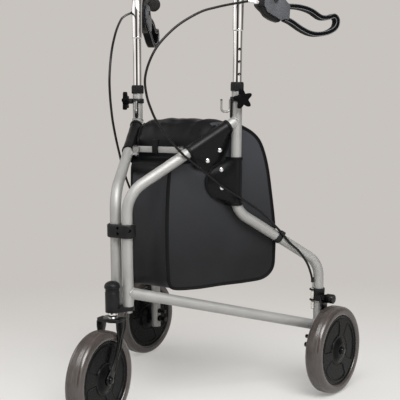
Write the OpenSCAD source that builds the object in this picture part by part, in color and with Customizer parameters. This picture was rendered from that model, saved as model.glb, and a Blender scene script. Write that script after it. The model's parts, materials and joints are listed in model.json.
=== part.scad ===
// Folding three wheel walking aid. Millimetres, +Z up, front towards -Y, user's left side at +X.

/* [Wheels] */
// Outside diameter of each wheel
wheel_d = 190; // [180:1:200]
// Width of the tyre
tyre_w = 38; // [32:1:42]
// Diameter of the wheel disc that carries the tyre
disc_d = 152; // [130:1:158]
// Diameter of the axle bolts
axle_d = 8; // [6:0.5:10]
// Distance from the rear leg's axis to the middle of the rear wheel
wheel_out = 38; // [36:1:46]

/* [Frame] */
// Outside diameter of the frame tubes
tube_d = 22.2; // [20:0.1:24]
// Wall of the frame tubes and handle tubes
tube_wall = 1.5; // [1.2:0.1:2]
// Distance between the two hinge posts
post_gap = 31; // [29:0.5:36]
// Angle between each side frame and straight back, when open
splay = 30; // [28:0.5:32]
// Distance from hinge post to handle post, along the side frame
handle_u = 237; // [230:1:250]
// Distance from hinge post to rear leg, along the side frame
leg_u = 438; // [425:1:450]
// Height of the front tube's bend above the post's foot
front_bend_h = 225; // [215:1:235]
// Height at which the front tube meets the handle post, above the post's foot
front_joint_h = 369; // [360:1:380]
// Height of the handle post's lower bend above the post's foot
rear_bend_h = 182; // [175:1:190]
// Height of the rear leg's bend above the post's foot
leg_bend_h = 57; // [50:1:64]
// Radius of the front tube's bend
front_bend_r = 70; // [55:1:80]
// Radius of the rear tube's bends
rear_bend_r = 52; // [45:1:56]
// Height of the lower rail above the post's foot, at the post
rail_front_h = 28; // [24:1:34]
// Height of the lower rail above the wheel axle, at the rear leg
rail_rear_h = 48; // [40:1:54]
// Lean of the handle post to the back
handle_lean = 1.2; // [0:0.1:2]
// Length of the socket from the handle post's lower bend to its top
socket_h = 264; // [256:1:272]

/* [Caster] */
// Distance from the hinge posts forward to the swivel axis
stem_set = 29.5; // [28:0.5:36]
// Distance from the swivel axis forward to the front axle
trail = 50; // [40:1:56]
// Turn of the front wheel to the user's left
caster_turn = 10; // [0:1:20]
// Gap between the front tyre and the fork crown
crown_gap = 8; // [6:1:12]
// Diameter of the swivel housing
housing_d = 29; // [27:0.5:32]
// Height of the swivel housing
housing_h = 44; // [38:1:50]
// Diameter of the swivel stem
stem_d = 12; // [10:0.5:14]
// Height of the bright spacer under the housing
spacer_h = 13.6; // [10:0.1:18]

/* [Handles] */
// Height of the handle bar above the handle post's lower bend
bar_h = 474; // [466:1:482]
// Radius of the handle's bend
handle_bend_r = 45; // [40:1:50]
// Height of the handle's shoulder above the handle post's lower bend
shoulder_h = 371; // [369:1:378]
// Distance of the bar's end behind the handle post
bar_len = 208; // [200:1:220]
// Diameter of the grip
grip_d = 34; // [30:0.5:37]
// Length of the grip
grip_len = 118; // [110:1:122]
// Distance between the height holes
hole_pitch = 25.4; // [24:0.1:26]
// Diameter of the height holes
hole_d = 6.4; // [5:0.1:8]
// Distance of the star knob below the socket's top
knob_down = 33.6; // [31:0.1:37]
// Radius of the star knob to its arm tips
knob_r = 21.5; // [18:0.5:23]

/* [Spreader] */
// Distance from hinge post to the spreader's eye, along the side frame
spread_u = 125; // [118:1:127]
// Distance of the eye from the middle of the front tube
eye_in = 18; // [16.5:0.5:20]
// Height of the folding bar
spread_bar_h = 13; // [10:0.5:14]
// Thickness of the folding bar
spread_bar_t = 4; // [3:0.5:5]

/* [Bag] */
// Distance of the bag's front behind the hinge posts
bag_front = 86; // [80:1:100]
// Distance of the bag's back behind the hinge posts
bag_back = 300; // [290:1:305]
// Height of the bag's floor above the post's foot
bag_floor_h = 22; // [16:1:40]
// Height of the bag's lid above the post's foot
bag_lid_h = 369; // [350:1:374]
// Thickness of the flaps that hang the bag on the frame
flap_t = 2; // [1.5:0.1:2.5]

/* [Hidden] */
$fn = 48;

frame_paint = [0.66, 0.66, 0.64];
bright_metal = [0.82, 0.82, 0.84];
black_plastic = [0.08, 0.08, 0.09];
black_vinyl = [0.10, 0.10, 0.12];
lever_grey = [0.24, 0.25, 0.27];
tyre_brown = [0.38, 0.35, 0.33];
ivory = [0.85, 0.82, 0.74];

// Clearances: running fits, seats inside one body, and gaps between moving pieces
run_gap = 0.05;
slide_gap = 0.1;
seat_gap = 0.02;
free_gap = 0.4;
// Overrun of a cutting tool past the face it cuts
cut = 1;
// A bend is a little fatter than the straight runs, which reach into it
bend_swell = 0.1;
bend_lap = 0.5;

tube_r = tube_d / 2;
tube_bore = tube_d - 2 * tube_wall;
axle_z = wheel_d / 2;
boss_half = tyre_w / 2 + 2;
leg_tail = 21;
leg_foot_z = axle_z - leg_tail;

crown_t = 6;
crown_z = wheel_d + crown_gap;
housing_z = crown_z + crown_t + spacer_h + free_gap;
plate_t = 8;
post_z = housing_z + plate_t + free_gap;
front_y = -stem_set - trail * cos(caster_turn)
          - wheel_d / 2 * cos(caster_turn) - tyre_w / 2 * sin(caster_turn) * 0.8;
rear_y = leg_u * cos(splay) + wheel_d / 2;
post_y = -(front_y + rear_y) / 2;

front_bend_z = post_z + front_bend_h;
front_joint_z = post_z + front_joint_h;
socket_z = post_z + rear_bend_h;
leg_bend_z = post_z + leg_bend_h;
rail_front_z = post_z + rail_front_h;
rail_rear_z = axle_z + rail_rear_h;
front_joint = [handle_u + (front_joint_z - socket_z) * tan(handle_lean), front_joint_z];
diag_angle = atan2(front_joint_z - front_bend_z, front_joint[0]);
diag_len = norm(front_joint - [0, front_bend_z]);
back_angle = atan2(leg_bend_z - socket_z, leg_u - handle_u);
socket_top = [handle_u + socket_h * sin(handle_lean), socket_z + socket_h * cos(handle_lean)];

knob_h = socket_h - knob_down;
handle_d = tube_bore - 2 * slide_gap;
handle_bore = handle_d - 2 * tube_wall;
holes_above = 4;
holes_below = 2;
handle_end_h = knob_h - holes_below * hole_pitch - 35;

// Brake lever, seen along the side frame: distance behind the handle post, height from the bar
// The lever's mouldings are drawn for a bar of this length, and follow the bar's length
drawn_bar = 208;
lever_fit = bar_len / drawn_bar;
lever_pivot = lever_fit * [79, -38];
lever_line = lever_fit * [
  [106, -48], [139, -48], [167, -54], [191, -66], [209, -66], [224, -62], [232, -71],
  [228, -86], [211, -97], [187, -102], [167, -101], [145, -93], [121, -80], [105, -74]
];
lever_bar = 10;
lever_depth = 18;
cheek_in = 8;
cheek_t = 5;
body_half = cheek_in - free_gap;
adjuster_at = lever_fit * [38, -45];
adjuster_sleeve = 14;
adjuster_nose = 10;
cable_out = 15;
cable_d = 5;

clamp_ring_t = 3;
clamp_band_h = 10;
stud_d = 6;
knob_face = tube_r + clamp_ring_t + 7;

sleeve_r = tube_r + 2.8;
flap_in = sleeve_r - flap_t;
bag_side = sleeve_r + 0.3;

eye_z = front_bend_z + spread_u * tan(diag_angle);
eye_t = 5;
eye_d = 6;
clevis_r = 6.8;
clevis_h = 12;
link_pivot_in = 6;
link_z = eye_z + eye_t / 2 + free_gap + spread_bar_h / 2;
// Middle of the open spreader: the eye's place from the centre line and from the posts
eye_x = post_gap / 2 + spread_u * sin(splay) - eye_in * cos(splay);
eye_y = post_y + spread_u * cos(splay) + eye_in * sin(splay);
lap = 9;
layer_gap = 0.4;

cable_steps = 3;
cable_sides = 8;
clip_u = (handle_u + leg_u) / 2;

shoe_r = 10;
shoe_len = 20;
shoe_gap = 4;
brake_z = axle_z + wheel_d / 2 + shoe_gap + shoe_r;
brake_pivot = [-12, brake_z + 4];
shoe_at = [8, brake_z];
barrel_u = leg_u - 15;
barrel_d = 7;
band_z = brake_z - 4;
band_h = 27;
band_r = tube_r + 3;
shoe_in = band_r + free_gap;

// Brake cable along the left side frame: distance back, distance in, height.
// It leaves the adjuster, loops in front of the post, and then follows the rear tube, where each
// place is a share of the run from the handle post to the leg, a distance in and a rise over the tube
cable_bare = 17;
nose_x = adjuster_at[0] - adjuster_sleeve - adjuster_nose;
nose_h = bar_h + adjuster_at[1];
nose = [handle_u + nose_x * cos(handle_lean) + nose_h * sin(handle_lean) - 2 * free_gap,
        -cable_out,
        socket_z + nose_h * cos(handle_lean) - nose_x * sin(handle_lean) - free_gap];
cable_loop = [
  [220, -15.5, 829], [186, -16, 821], [154, -16, 811], [111, -16, 787], [79, -16, 760],
  [58, -16, 735], [43, -16, 705], [36, -16, 676], [39, -16, 647], [46, -16, 624],
  [60, -16, 594], [87, -16, 558], [115, -16, 528], [132, -17, 514], [160, -18, 492],
  [195, -18, 464], [241, -18, 435]
];
cable_back = [
  [0.27, -15, 27], [0.4, -13, 20], [0.5, -12, 13], [0.605, -16, 0.5], [0.715, -15, -5],
  [0.825, -10, -18], [0.89, -4, -34]
];
cable_route = concat(
  [nose], cable_loop,
  [for (p = cable_back) [handle_u + p[0] * (leg_u - handle_u), p[1],
                         socket_z + p[0] * (leg_bend_z - socket_z) + p[2]]],
  [[barrel_u, 0, band_z + band_h + cable_bare]]);

// Places a piece of the left side frame: x along the frame, y inward, z up
module left() {
  translate([post_gap / 2, post_y, 0])
    rotate([0, 0, 90 - splay])
      children();
}

// The same piece on the other side
module right() {
  mirror([1, 0, 0])
    left()
      children();
}

// Along the leaning handle post, from its lower bend
module on_handle() {
  translate([handle_u, 0, socket_z])
    rotate([0, handle_lean, 0])
      children();
}

// At the rear leg's axis, x straight out along the wheel axle
module at_leg() {
  translate([leg_u, 0, 0])
    rotate([0, 0, splay - 90])
      children();
}

// At the swivel axis, turned with the front wheel
module at_caster() {
  translate([0, post_y - stem_set, 0])
    rotate([0, 0, caster_turn])
      children();
}

// Stands a flat drawing up in the side frame's plane, between two distances inward
module upright(y0, y1) {
  rotate([90, 0, 0])
    translate([0, 0, -y1])
      linear_extrude(y1 - y0)
        children();
}

function heading(p, q) = atan2(q[1] - p[1], q[0] - p[0]);
function wrap(a) = a > 180 ? a - 360 : a < -180 ? a + 360 : a;
function turn_at(pts, i) = wrap(heading(pts[i], pts[i + 1]) - heading(pts[i - 1], pts[i]));
function bend_cut(pts, i, r) =
  i == 0 || i == len(pts) - 1 ? 0 : r * tan(abs(turn_at(pts, i)) / 2);

// Round bar through flat points, with a bend of the given radius at each inner point.
// Each straight run and bend is drawn from the end of the one before it.
module bent_bar(pts, bend_r, d, over = 0) {
  translate(pts[0])
    rotate([0, 0, heading(pts[0], pts[1])])
      translate([-over, 0, 0])
        bar_run(pts, 0, bend_r, d, over, 1);
}

module bar_run(pts, i, bend_r, d, over, hand) {
  first_run = i == 0;
  last_run = i == len(pts) - 2;
  run = norm(pts[i + 1] - pts[i]) - bend_cut(pts, i, bend_r) - bend_cut(pts, i + 1, bend_r)
        + (first_run ? over : 0) + (last_run ? over : 0);
  start = first_run ? 0 : -bend_lap;
  translate([start, 0, 0])
    rotate([0, 90, 0])
      cylinder(d = d, h = run - start + (last_run ? 0 : bend_lap));
  if (!last_run) {
    turn = hand * turn_at(pts, i + 1);
    side = turn > 0 ? 1 : -1;
    translate([run, 0, 0])
      mirror([0, turn > 0 ? 0 : 1, 0])
        translate([0, bend_r, 0]) {
          rotate([0, 0, -90])
            rotate_extrude(angle = abs(turn))
              translate([bend_r, 0])
                circle(d = d + 2 * bend_swell);
          rotate([0, 0, abs(turn)])
            translate([0, -bend_r, 0])
              bar_run(pts, i + 1, bend_r, d, over, hand * side);
        }
  }
}

module bent_tube(pts, bend_r, d, bore) {
  rotate([90, 0, 0])
    difference() {
      bent_bar(pts, bend_r, d);
      bent_bar(pts, bend_r, bore, cut);
    }
}

function catmull(a, b, c, d, t) =
  0.5 * (2 * b + (c - a) * t + (2 * a - 5 * b + 4 * c - d) * t * t
         + (3 * b - a - 3 * c + d) * t * t * t);
function smooth(pts, n) = let (last = len(pts) - 1) concat(
  [for (i = [0 : last - 1], k = [0 : n - 1])
    catmull(pts[max(i - 1, 0)], pts[i], pts[i + 1], pts[min(i + 2, last)], k / n)],
  [pts[last]]);
function along(c, i) =
  let (v = c[min(i + 1, len(c) - 1)] - c[max(i - 1, 0)]) v / norm(v);
function ribbon(c, half) =
  let (edge = [for (i = [0 : len(c) - 1]) let (v = along(c, i)) half * [-v[1], v[0]]])
  concat([for (i = [0 : len(c) - 1]) c[i] + edge[i]],
         [for (i = [len(c) - 1 : -1 : 0]) c[i] - edge[i]]);

// Round cord swept along space points that never run straight inward
module cord(pts, d, sides) {
  rings = len(pts);
  points = [for (i = [0 : rings - 1], k = [0 : sides - 1])
    let (v = along(pts, i), n1 = cross(v, [0, 1, 0]), n2 = cross(v, n1 / norm(n1)))
    pts[i] + d / 2 * (cos(360 * k / sides) * n1 / norm(n1) + sin(360 * k / sides) * n2)];
  walls = [for (i = [0 : rings - 2], k = [0 : sides - 1], half = [0, 1])
    let (a = i * sides + k, b = i * sides + (k + 1) % sides)
    half == 0 ? [a, a + sides, b] : [b, a + sides, b + sides]];
  ends = [for (k = [1 : sides - 2], e = [0, 1]) let (z = (rings - 1) * sides)
    e == 0 ? [0, k, k + 1] : [z, z + k + 1, z + k]];
  polyhedron(points, concat(walls, ends));
}

function arc(c, r, a0, a1, n) =
  [for (i = [0 : n]) let (a = a0 + (a1 - a0) * i / n) c + r * [cos(a), sin(a)]];

// Hinge head
module upper_hinge_bracket() {
  round_r = tube_r + 6;
  height = 27;
  below_bend = 87;
  screw_d = 7;
  screw_deep = 3;
  color(black_plastic)
    translate([0, post_y, front_bend_z - below_bend])
      difference() {
        union() {
          for (s = [-1, 1])
            translate([s * post_gap / 2, 0, 0])
              cylinder(r = round_r, h = height);
          translate([-post_gap / 2, -round_r, 0])
            cube([post_gap, 2 * round_r, height]);
        }
        for (s = [-1, 1]) {
          translate([s * post_gap / 2, 0, -cut])
            cylinder(r = tube_r + run_gap, h = height + 2 * cut);
          translate([s * post_gap / 2, -round_r - cut, height / 2])
            rotate([-90, 0, 0])
              cylinder(d = screw_d, h = cut + screw_deep);
        }
      }
}

pin_d = 10;
pin_head_h = 5;
pin_deep = 18;

module lower_hinge_bracket() {
  post_boss_r = tube_r + 1;
  bush_seat_d = housing_d - 7;
  color(black_plastic)
    difference() {
      union() {
        translate([0, post_y - stem_set, housing_z])
          cylinder(d = housing_d, h = housing_h);
        for (s = [-1, 1])
          translate([s * post_gap / 2, post_y, housing_z])
            cylinder(r = post_boss_r, h = plate_t);
        translate([0, post_y, housing_z])
          linear_extrude(plate_t)
            polygon([[-post_gap / 2 - post_boss_r, 0], [-housing_d / 2, -stem_set],
                     [housing_d / 2, -stem_set], [post_gap / 2 + post_boss_r, 0],
                     [post_gap / 2, post_boss_r], [-post_gap / 2, post_boss_r]]);
      }
      translate([0, post_y - stem_set, housing_z - cut])
        cylinder(d = bush_seat_d, h = housing_h + 2 * cut);
      for (s = [-1, 1])
        translate([s * post_gap / 2, post_y, housing_z - cut])
          cylinder(d = pin_d + 2 * seat_gap, h = plate_t + 2 * cut);
    }
}

module caster_bushes() {
  bush_h = 12;
  bush_d = housing_d - 7 - 2 * seat_gap;
  color(ivory)
    for (z = [housing_z, housing_z + housing_h - bush_h])
      translate([0, post_y - stem_set, z])
        difference() {
          cylinder(d = bush_d, h = bush_h);
          translate([0, 0, -cut])
            cylinder(d = stem_d + 2 * run_gap, h = bush_h + 2 * cut);
        }
}

nut_h = 6;

module caster_cap() {
  neck_r = housing_d / 2 - 0.5;
  brim_r = housing_d / 2 + 1.5;
  neck_h = 4;
  brim_h = 3;
  dome_h = 12;
  hollow_r = stem_d / 2 + 4.5;
  hollow_h = nut_h + 3;
  dome = [for (a = [0 : 15 : 90]) [brim_r * cos(a), neck_h + brim_h + dome_h * sin(a)]];
  color(black_plastic)
    translate([0, post_y - stem_set, housing_z + housing_h])
      rotate_extrude()
        polygon(concat([[hollow_r, 0], [neck_r, 0], [neck_r, neck_h], [brim_r, neck_h]],
                       dome, [[0, hollow_h], [hollow_r, hollow_h]]));
}

module hinge_pins() {
  head_d = 16;
  color(bright_metal)
    for (s = [-1, 1])
      translate([s * post_gap / 2, post_y, housing_z]) {
        translate([0, 0, -pin_head_h])
          cylinder(d = head_d, h = pin_head_h);
        translate([0, 0, -pin_head_h])
          cylinder(d = pin_d, h = pin_head_h + plate_t + free_gap + pin_deep);
      }
}

// Bag, a closed shell between the side frames
module carry_bag() {
  shell = 0.97;
  middle = [0, (bag_front + bag_back) / 2, post_z + (bag_floor_h + bag_lid_h) / 2];
  color(black_vinyl)
    translate([0, post_y, 0])
      difference() {
        bag_form();
        translate(middle)
          scale(shell)
            translate(-middle)
              bag_form();
      }
}

module bag_form() {
  side_x = bag_side / cos(splay);
  front_half = post_gap / 2 + bag_front * tan(splay) - side_x;
  back_half = post_gap / 2 + bag_back * tan(splay) - side_x;
  low = post_z + bag_floor_h;
  top = post_z + bag_lid_h;
  depth = bag_back - bag_front;
  high = top - low;
  under_bar = eye_z - 14;
  behind_bar = eye_y - post_y + clevis_r + 3;
  back_shape = [[0, 0.046], [0.065, 0], [0.86, 0.023], [1, 0.104], [1, 0.352], [0.925, 0.69],
                [0.785, 0.925], [0.57, 1], [0.383, 0.988]];
  profile = concat(
    [for (p = back_shape) [bag_front + p[0] * depth, low + p[1] * high]],
    [[behind_bar, top - 0.144 * high], [behind_bar, under_bar],
     [bag_front + 0.037 * depth, under_bar - 0.046 * high]]);
  intersection() {
    linear_extrude(top + cut)
      polygon([[-front_half, bag_front], [front_half, bag_front],
               [back_half, bag_back], [-back_half, bag_back]]);
    rotate([90, 0, 90])
      linear_extrude(2 * back_half + 2 * cut, center = true)
        polygon(profile);
  }
}

// Caster
spacer_d = 20;

module caster_stem() {
  nut_d = stem_d + 7;
  color(bright_metal)
    at_caster() {
      translate([0, 0, crown_z + crown_t])
        cylinder(d = spacer_d, h = spacer_h);
      translate([0, 0, crown_z + crown_t])
        cylinder(d = stem_d, h = spacer_h + free_gap + housing_h + nut_h);
      translate([0, 0, housing_z + housing_h + free_gap])
        cylinder(d = nut_d, h = nut_h - free_gap);
    }
}

fork_in = boss_half + free_gap;
fork_t = 3;
fork_eye_r = 11;

module caster_fork() {
  crown_front = 22;
  crown_back = 17;
  drop = crown_z - axle_z;
  // Side view of a leg as shares of the trail and of the drop from crown to axle, front edge first
  front_edge = [[0.44, 0.92], [0.34, 0.77], [0.36, 0.65], [0.55, 0.42], [0.77, 0.23]];
  back_edge = [[0.61, 0.11], [0.41, 0.3], [0.19, 0.49], [0.08, 0.65], [-0.07, 0.78], [-0.2, 0.92]];
  side = concat(
    [[-0.2 * trail, crown_z + crown_t], [crown_front, crown_z + crown_t]],
    [for (p = front_edge) [trail * p[0], axle_z + drop * p[1]]],
    [[trail + fork_eye_r * 0.8, axle_z + fork_eye_r * 0.6],
     [trail - fork_eye_r * 0.8, axle_z - fork_eye_r * 0.6]],
    [for (p = back_edge) [trail * p[0], axle_z + drop * p[1]]]
  );
  color(black_plastic)
    at_caster()
      difference() {
        union() {
          translate([-fork_in - fork_t, -crown_front, crown_z])
            cube([2 * (fork_in + fork_t), crown_front + crown_back, crown_t]);
          for (x = [-fork_in - fork_t, fork_in])
            translate([x, 0, 0]) {
              rotate([90, 0, -90])
                translate([0, 0, -fork_t])
                  linear_extrude(fork_t)
                    polygon(side);
              translate([0, -trail, axle_z])
                rotate([0, 90, 0])
                  cylinder(r = fork_eye_r, h = fork_t);
            }
        }
        translate([-fork_in - fork_t - cut, -trail, axle_z])
          rotate([0, 90, 0])
            cylinder(d = axle_d + 2 * seat_gap, h = 2 * (fork_in + fork_t + cut));
      }
}

axle_head_h = 6;
axle_head_d = 15;

module front_axle() {
  half = fork_in + fork_t;
  color(bright_metal)
    at_caster()
      translate([0, -trail, axle_z])
        rotate([0, 90, 0]) {
          translate([0, 0, -half - axle_head_h])
            cylinder(d = axle_d, h = 2 * (half + axle_head_h));
          for (z = [-half - axle_head_h, half])
            translate([0, 0, z])
              cylinder(d = axle_head_d, h = axle_head_h);
        }
}

// Wheels, axis along z; a panel is a ring's sector with rounded corners
panels = 3;
front_panel_turn = 79;
rear_panel_turn = 102;

function sector(r0, r1, half, c) =
  let (in_a = half - asin(c / (r0 + c)), out_a = half - asin(c / (r1 - c)), step = 24,
       in_c = (r0 + c) * [cos(in_a), sin(in_a)], out_c = (r1 - c) * [cos(out_a), sin(out_a)])
  concat(arc([0, 0], r1, -out_a, out_a, 12),
         arc(out_c, c, out_a + step, half + 90, 3),
         arc(in_c, c, half + 90, 180 + in_a, 3),
         arc([0, 0], r0, in_a * 7 / 8, -in_a * 7 / 8, 7),
         arc([in_c[0], -in_c[1]], c, 180 - in_a, 270 - half, 3),
         arc([out_c[0], -out_c[1]], c, 270 - half, 360 - step - out_a, 3));

module tyre() {
  r = wheel_d / 2;
  w = tyre_w / 2;
  seat_r = disc_d / 2;
  shoulder = 7;
  groove_w = 1.2;
  groove_deep = 1.2;
  bead = 3;
  grooves = [for (z = [-8, 0, 8], p = [[-groove_w, 0], [-groove_w, 1], [groove_w, 1], [groove_w, 0]])
    [r - p[1] * groove_deep, z + p[0]]];
  color(tyre_brown)
    rotate_extrude($fn = 96)
      polygon(concat([[seat_r, -w + bead]],
                     arc([r - shoulder, -w + shoulder], shoulder, -90, 0, 5),
                     grooves,
                     arc([r - shoulder, w - shoulder], shoulder, 0, 90, 5),
                     [[seat_r, w - bead]]));
}

module wheel_hub(turn) {
  r = disc_d / 2 - seat_gap;
  face_half = tyre_w / 2 - 4;
  panel_deep = 7;
  boss_r = 0.36 * r;
  boss_top_r = 0.24 * r;
  bore_r = axle_d / 2 + run_gap;
  panel = sector(0.43 * r, 0.86 * r, 44, 6);
  color(black_plastic)
    difference() {
      rotate_extrude($fn = 96)
        polygon([[bore_r, -boss_half], [boss_top_r, -boss_half], [boss_r, -face_half],
                 [r, -face_half], [r, face_half], [boss_r, face_half],
                 [boss_top_r, boss_half], [bore_r, boss_half]]);
      for (i = [0 : panels - 1], z = [-face_half - cut, face_half - panel_deep])
        rotate([0, 0, turn + 360 * i / panels])
          translate([0, 0, z])
            linear_extrude(panel_deep + cut)
              polygon(panel);
    }
}

module front_place() {
  at_caster()
    translate([0, -trail, axle_z])
      rotate([0, 90, 0])
        children();
}

module rear_place() {
  at_leg()
    translate([wheel_out, 0, axle_z])
      rotate([0, 90, 0])
        children();
}

module rear_axle() {
  out = wheel_out + boss_half + free_gap;
  nut_t = 7;
  inner = tube_r + 0.5;
  spacer_end = wheel_out - boss_half - free_gap;
  color(bright_metal)
    at_leg() {
      translate([-inner - nut_t - 3, 0, axle_z])
        rotate([0, 90, 0])
          cylinder(d = axle_d, h = out + inner + nut_t + 3);
      translate([out, 0, axle_z])
        rotate([0, 90, 0])
          cylinder(d = axle_head_d, h = axle_head_h);
      translate([-inner - nut_t, 0, axle_z])
        rotate([0, 90, 0])
          cylinder(d = axle_head_d, h = nut_t, $fn = 6);
      difference() {
        translate([0, 0, axle_z])
          rotate([0, 90, 0])
            cylinder(d = axle_head_d + 1, h = spacer_end);
        translate([0, 0, axle_z - axle_head_d])
          cylinder(r = tube_r + seat_gap, h = 2 * axle_head_d);
        translate([-cut, 0, axle_z])
          rotate([0, 90, 0])
            cylinder(d = axle_d + 2 * seat_gap, h = spacer_end + 2 * cut);
      }
    }
}

// Side frame
module front_tube() {
  path = [[0, post_z], [0, front_bend_z], front_joint];
  color(frame_paint)
    difference() {
      union() {
        difference() {
          bent_tube(path, front_bend_r, tube_d, tube_bore);
          on_handle()
            cylinder(r = tube_r + seat_gap, h = socket_h);
        }
        difference() {
          union() {
            translate([spread_u, eye_in, eye_z - eye_t / 2])
              cylinder(r = clevis_r, h = eye_t);
            translate([spread_u - clevis_r, 0, eye_z - eye_t / 2])
              cube([2 * clevis_r, eye_in, eye_t]);
          }
          translate([0, 0, front_bend_z])
            rotate([0, 90 - diag_angle, 0])
              cylinder(d = tube_d - tube_wall, h = diag_len);
        }
      }
      translate([spread_u, eye_in, eye_z - eye_t])
        cylinder(d = eye_d + 2 * run_gap, h = 2 * eye_t);
    }
}

module rear_tube() {
  path = [socket_top, [handle_u, socket_z], [leg_u, leg_bend_z], [leg_u, leg_foot_z]];
  color(frame_paint)
    difference() {
      bent_tube(path, rear_bend_r, tube_d, tube_bore);
      on_handle()
        translate([0, 0, knob_h])
          rotate([90, 0, 0])
            cylinder(d = stud_d + 2 * run_gap, h = tube_d);
      at_leg()
        translate([-tube_d, 0, axle_z])
          rotate([0, 90, 0])
            cylinder(d = axle_d + 2 * seat_gap, h = 2 * tube_d);
    }
}

module lower_rail() {
  path = [[0, rail_front_z], [leg_u, rail_rear_z]];
  color(frame_paint)
    difference() {
      bent_tube(path, rear_bend_r, tube_d, tube_bore);
      translate([0, 0, post_z])
        cylinder(r = tube_r + seat_gap, h = front_bend_h);
      translate([leg_u, 0, leg_foot_z])
        cylinder(r = tube_r + seat_gap, h = leg_bend_z - leg_foot_z);
    }
}

module post_plug() {
  plug_h = pin_deep + 4;
  color(black_plastic)
    translate([0, 0, post_z])
      difference() {
        cylinder(d = tube_bore - 2 * seat_gap, h = plug_h);
        translate([0, 0, -cut])
          cylinder(d = pin_d + 2 * run_gap, h = cut + pin_deep + free_gap);
      }
}

hook_wire = 4;
strip_t = 2;

module handle_clamp() {
  collar_h = 17;
  lip = 1.6;
  ring_r = tube_r + clamp_ring_t;
  strip_w = 8;
  tube_top = front_joint_z - socket_z - ring_r * tan(diag_angle) + tube_r / cos(diag_angle);
  strip_low = tube_top + free_gap;
  color(black_plastic)
    on_handle() {
      difference() {
        translate([0, 0, socket_h - collar_h])
          cylinder(r = tube_r + 2.2, h = collar_h + lip);
        translate([0, 0, socket_h - collar_h - cut])
          cylinder(r = tube_r + seat_gap, h = collar_h + cut);
        translate([0, 0, socket_h - cut])
          cylinder(r = handle_d / 2 + slide_gap, h = lip + 2 * cut);
      }
      difference() {
        union() {
          translate([0, 0, knob_h - clamp_band_h / 2])
            cylinder(r = ring_r, h = clamp_band_h);
          translate([0, 0, knob_h])
            rotate([90, 0, 0])
              cylinder(d = clamp_band_h + 2, h = knob_face - free_gap);
          translate([-ring_r, -strip_w / 2, strip_low])
            cube([strip_t, strip_w, knob_h - strip_low]);
        }
        translate([0, 0, strip_low - cut])
          cylinder(r = tube_r + seat_gap, h = knob_h - strip_low + clamp_band_h + 2 * cut);
        translate([0, 0, knob_h])
          rotate([90, 0, 0])
            cylinder(d = stud_d + 2 * run_gap, h = knob_face + cut);
      }
    }
}

module basket_hook() {
  back = -tube_r - clamp_ring_t - hook_wire / 2 - seat_gap;
  mouth = 19;
  drop = 26;
  lip = 24;
  bend = 7;
  color(bright_metal)
    on_handle()
      rotate([90, 0, 0])
        bent_bar([[back, knob_h], [back, knob_h - drop], [back - mouth, knob_h - drop],
                  [back - mouth, knob_h - drop + lip]], bend, hook_wire);
}

module star_knob() {
  arms = 5;
  tip_r = 4.6;
  root = 7;
  core_r = 11;
  thick = 12;
  first_arm = 174;
  reach = knob_r - tip_r;
  stud_end = handle_d / 2 + 0.6;
  color(black_plastic)
    on_handle()
      translate([0, 0, knob_h])
        rotate([90, 0, 0]) {
          translate([0, 0, knob_face])
            linear_extrude(thick)
              union() {
                circle(r = core_r);
                for (i = [0 : arms - 1])
                  rotate(first_arm + 360 * i / arms) {
                    polygon([[0, -root], [reach, -tip_r], [reach, tip_r], [0, root]]);
                    translate([reach, 0])
                      circle(r = tip_r);
                  }
              }
          translate([0, 0, stud_end])
            cylinder(d = stud_d, h = knob_face - stud_end);
        }
}

// Flaps and studs that hang the bag on the front tube and the handle post
flap_tail = 61;
tongue_back = 64;
tongue_high = 109;
// The panel and the tongue lie one over the other, just inside the sleeves' outer face
panel_in = flap_in - 0.4;
tongue_in = flap_in - 0.2;

module bag_flap() {
  a0 = 0.57 * diag_len;
  a1 = 0.915 * diag_len;
  sleeve_low = 32;
  panel = [[0.57, 0], [0.56, 0.65], [0.6, 0.82], [0.64, 0.98], [0.75, 1], [0.85, 0.69],
           [0.915, 0.3], [0.915, 0]];
  tongue = [[0, 0.12], [0, 1], [0.31, 0.97], [0.83, 0.74], [1, 0.62], [0.97, 0.42],
            [0.77, 0.26], [0.3, 0.12]];
  color(black_vinyl)
    difference() {
      union() {
        translate([0, 0, front_bend_z]) {
          rotate([0, 90 - diag_angle, 0])
            translate([0, 0, a0])
              cylinder(r = sleeve_r, h = a1 - a0);
          rotate([0, -diag_angle, 0])
            upright(panel_in, panel_in + flap_t)
              polygon([for (p = panel) [p[0] * diag_len, -p[1] * flap_tail]]);
        }
        on_handle() {
          translate([0, 0, sleeve_low])
            cylinder(r = sleeve_r, h = tongue_high - sleeve_low);
          upright(tongue_in, tongue_in + flap_t)
            polygon([for (p = tongue) [-p[0] * tongue_back, p[1] * tongue_high]]);
        }
      }
      translate([0, 0, front_bend_z])
        rotate([0, 90 - diag_angle, 0])
          cylinder(r = tube_r + seat_gap, h = diag_len);
      on_handle()
        cylinder(r = tube_r + seat_gap, h = socket_h);
    }
}

module flap_studs() {
  stud_r = 4.5;
  stud_t = 2.5;
  on_tongue = [[-0.5 * tongue_back, 0.78 * tongue_high], [-0.5 * tongue_back, 0.44 * tongue_high]];
  on_panel = [[0.65 * diag_len, -0.6 * flap_tail], [0.77 * diag_len, -0.53 * flap_tail]];
  color(bright_metal) {
    on_handle()
      for (p = on_tongue)
        translate([p[0], tongue_in, p[1]])
          rotate([90, 0, 0])
            cylinder(r = stud_r, h = stud_t);
    translate([0, 0, front_bend_z])
      rotate([0, -diag_angle, 0])
        for (p = on_panel)
          translate([p[0], panel_in, p[1]])
            rotate([90, 0, 0])
              cylinder(r = stud_r, h = stud_t);
  }
}

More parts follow.
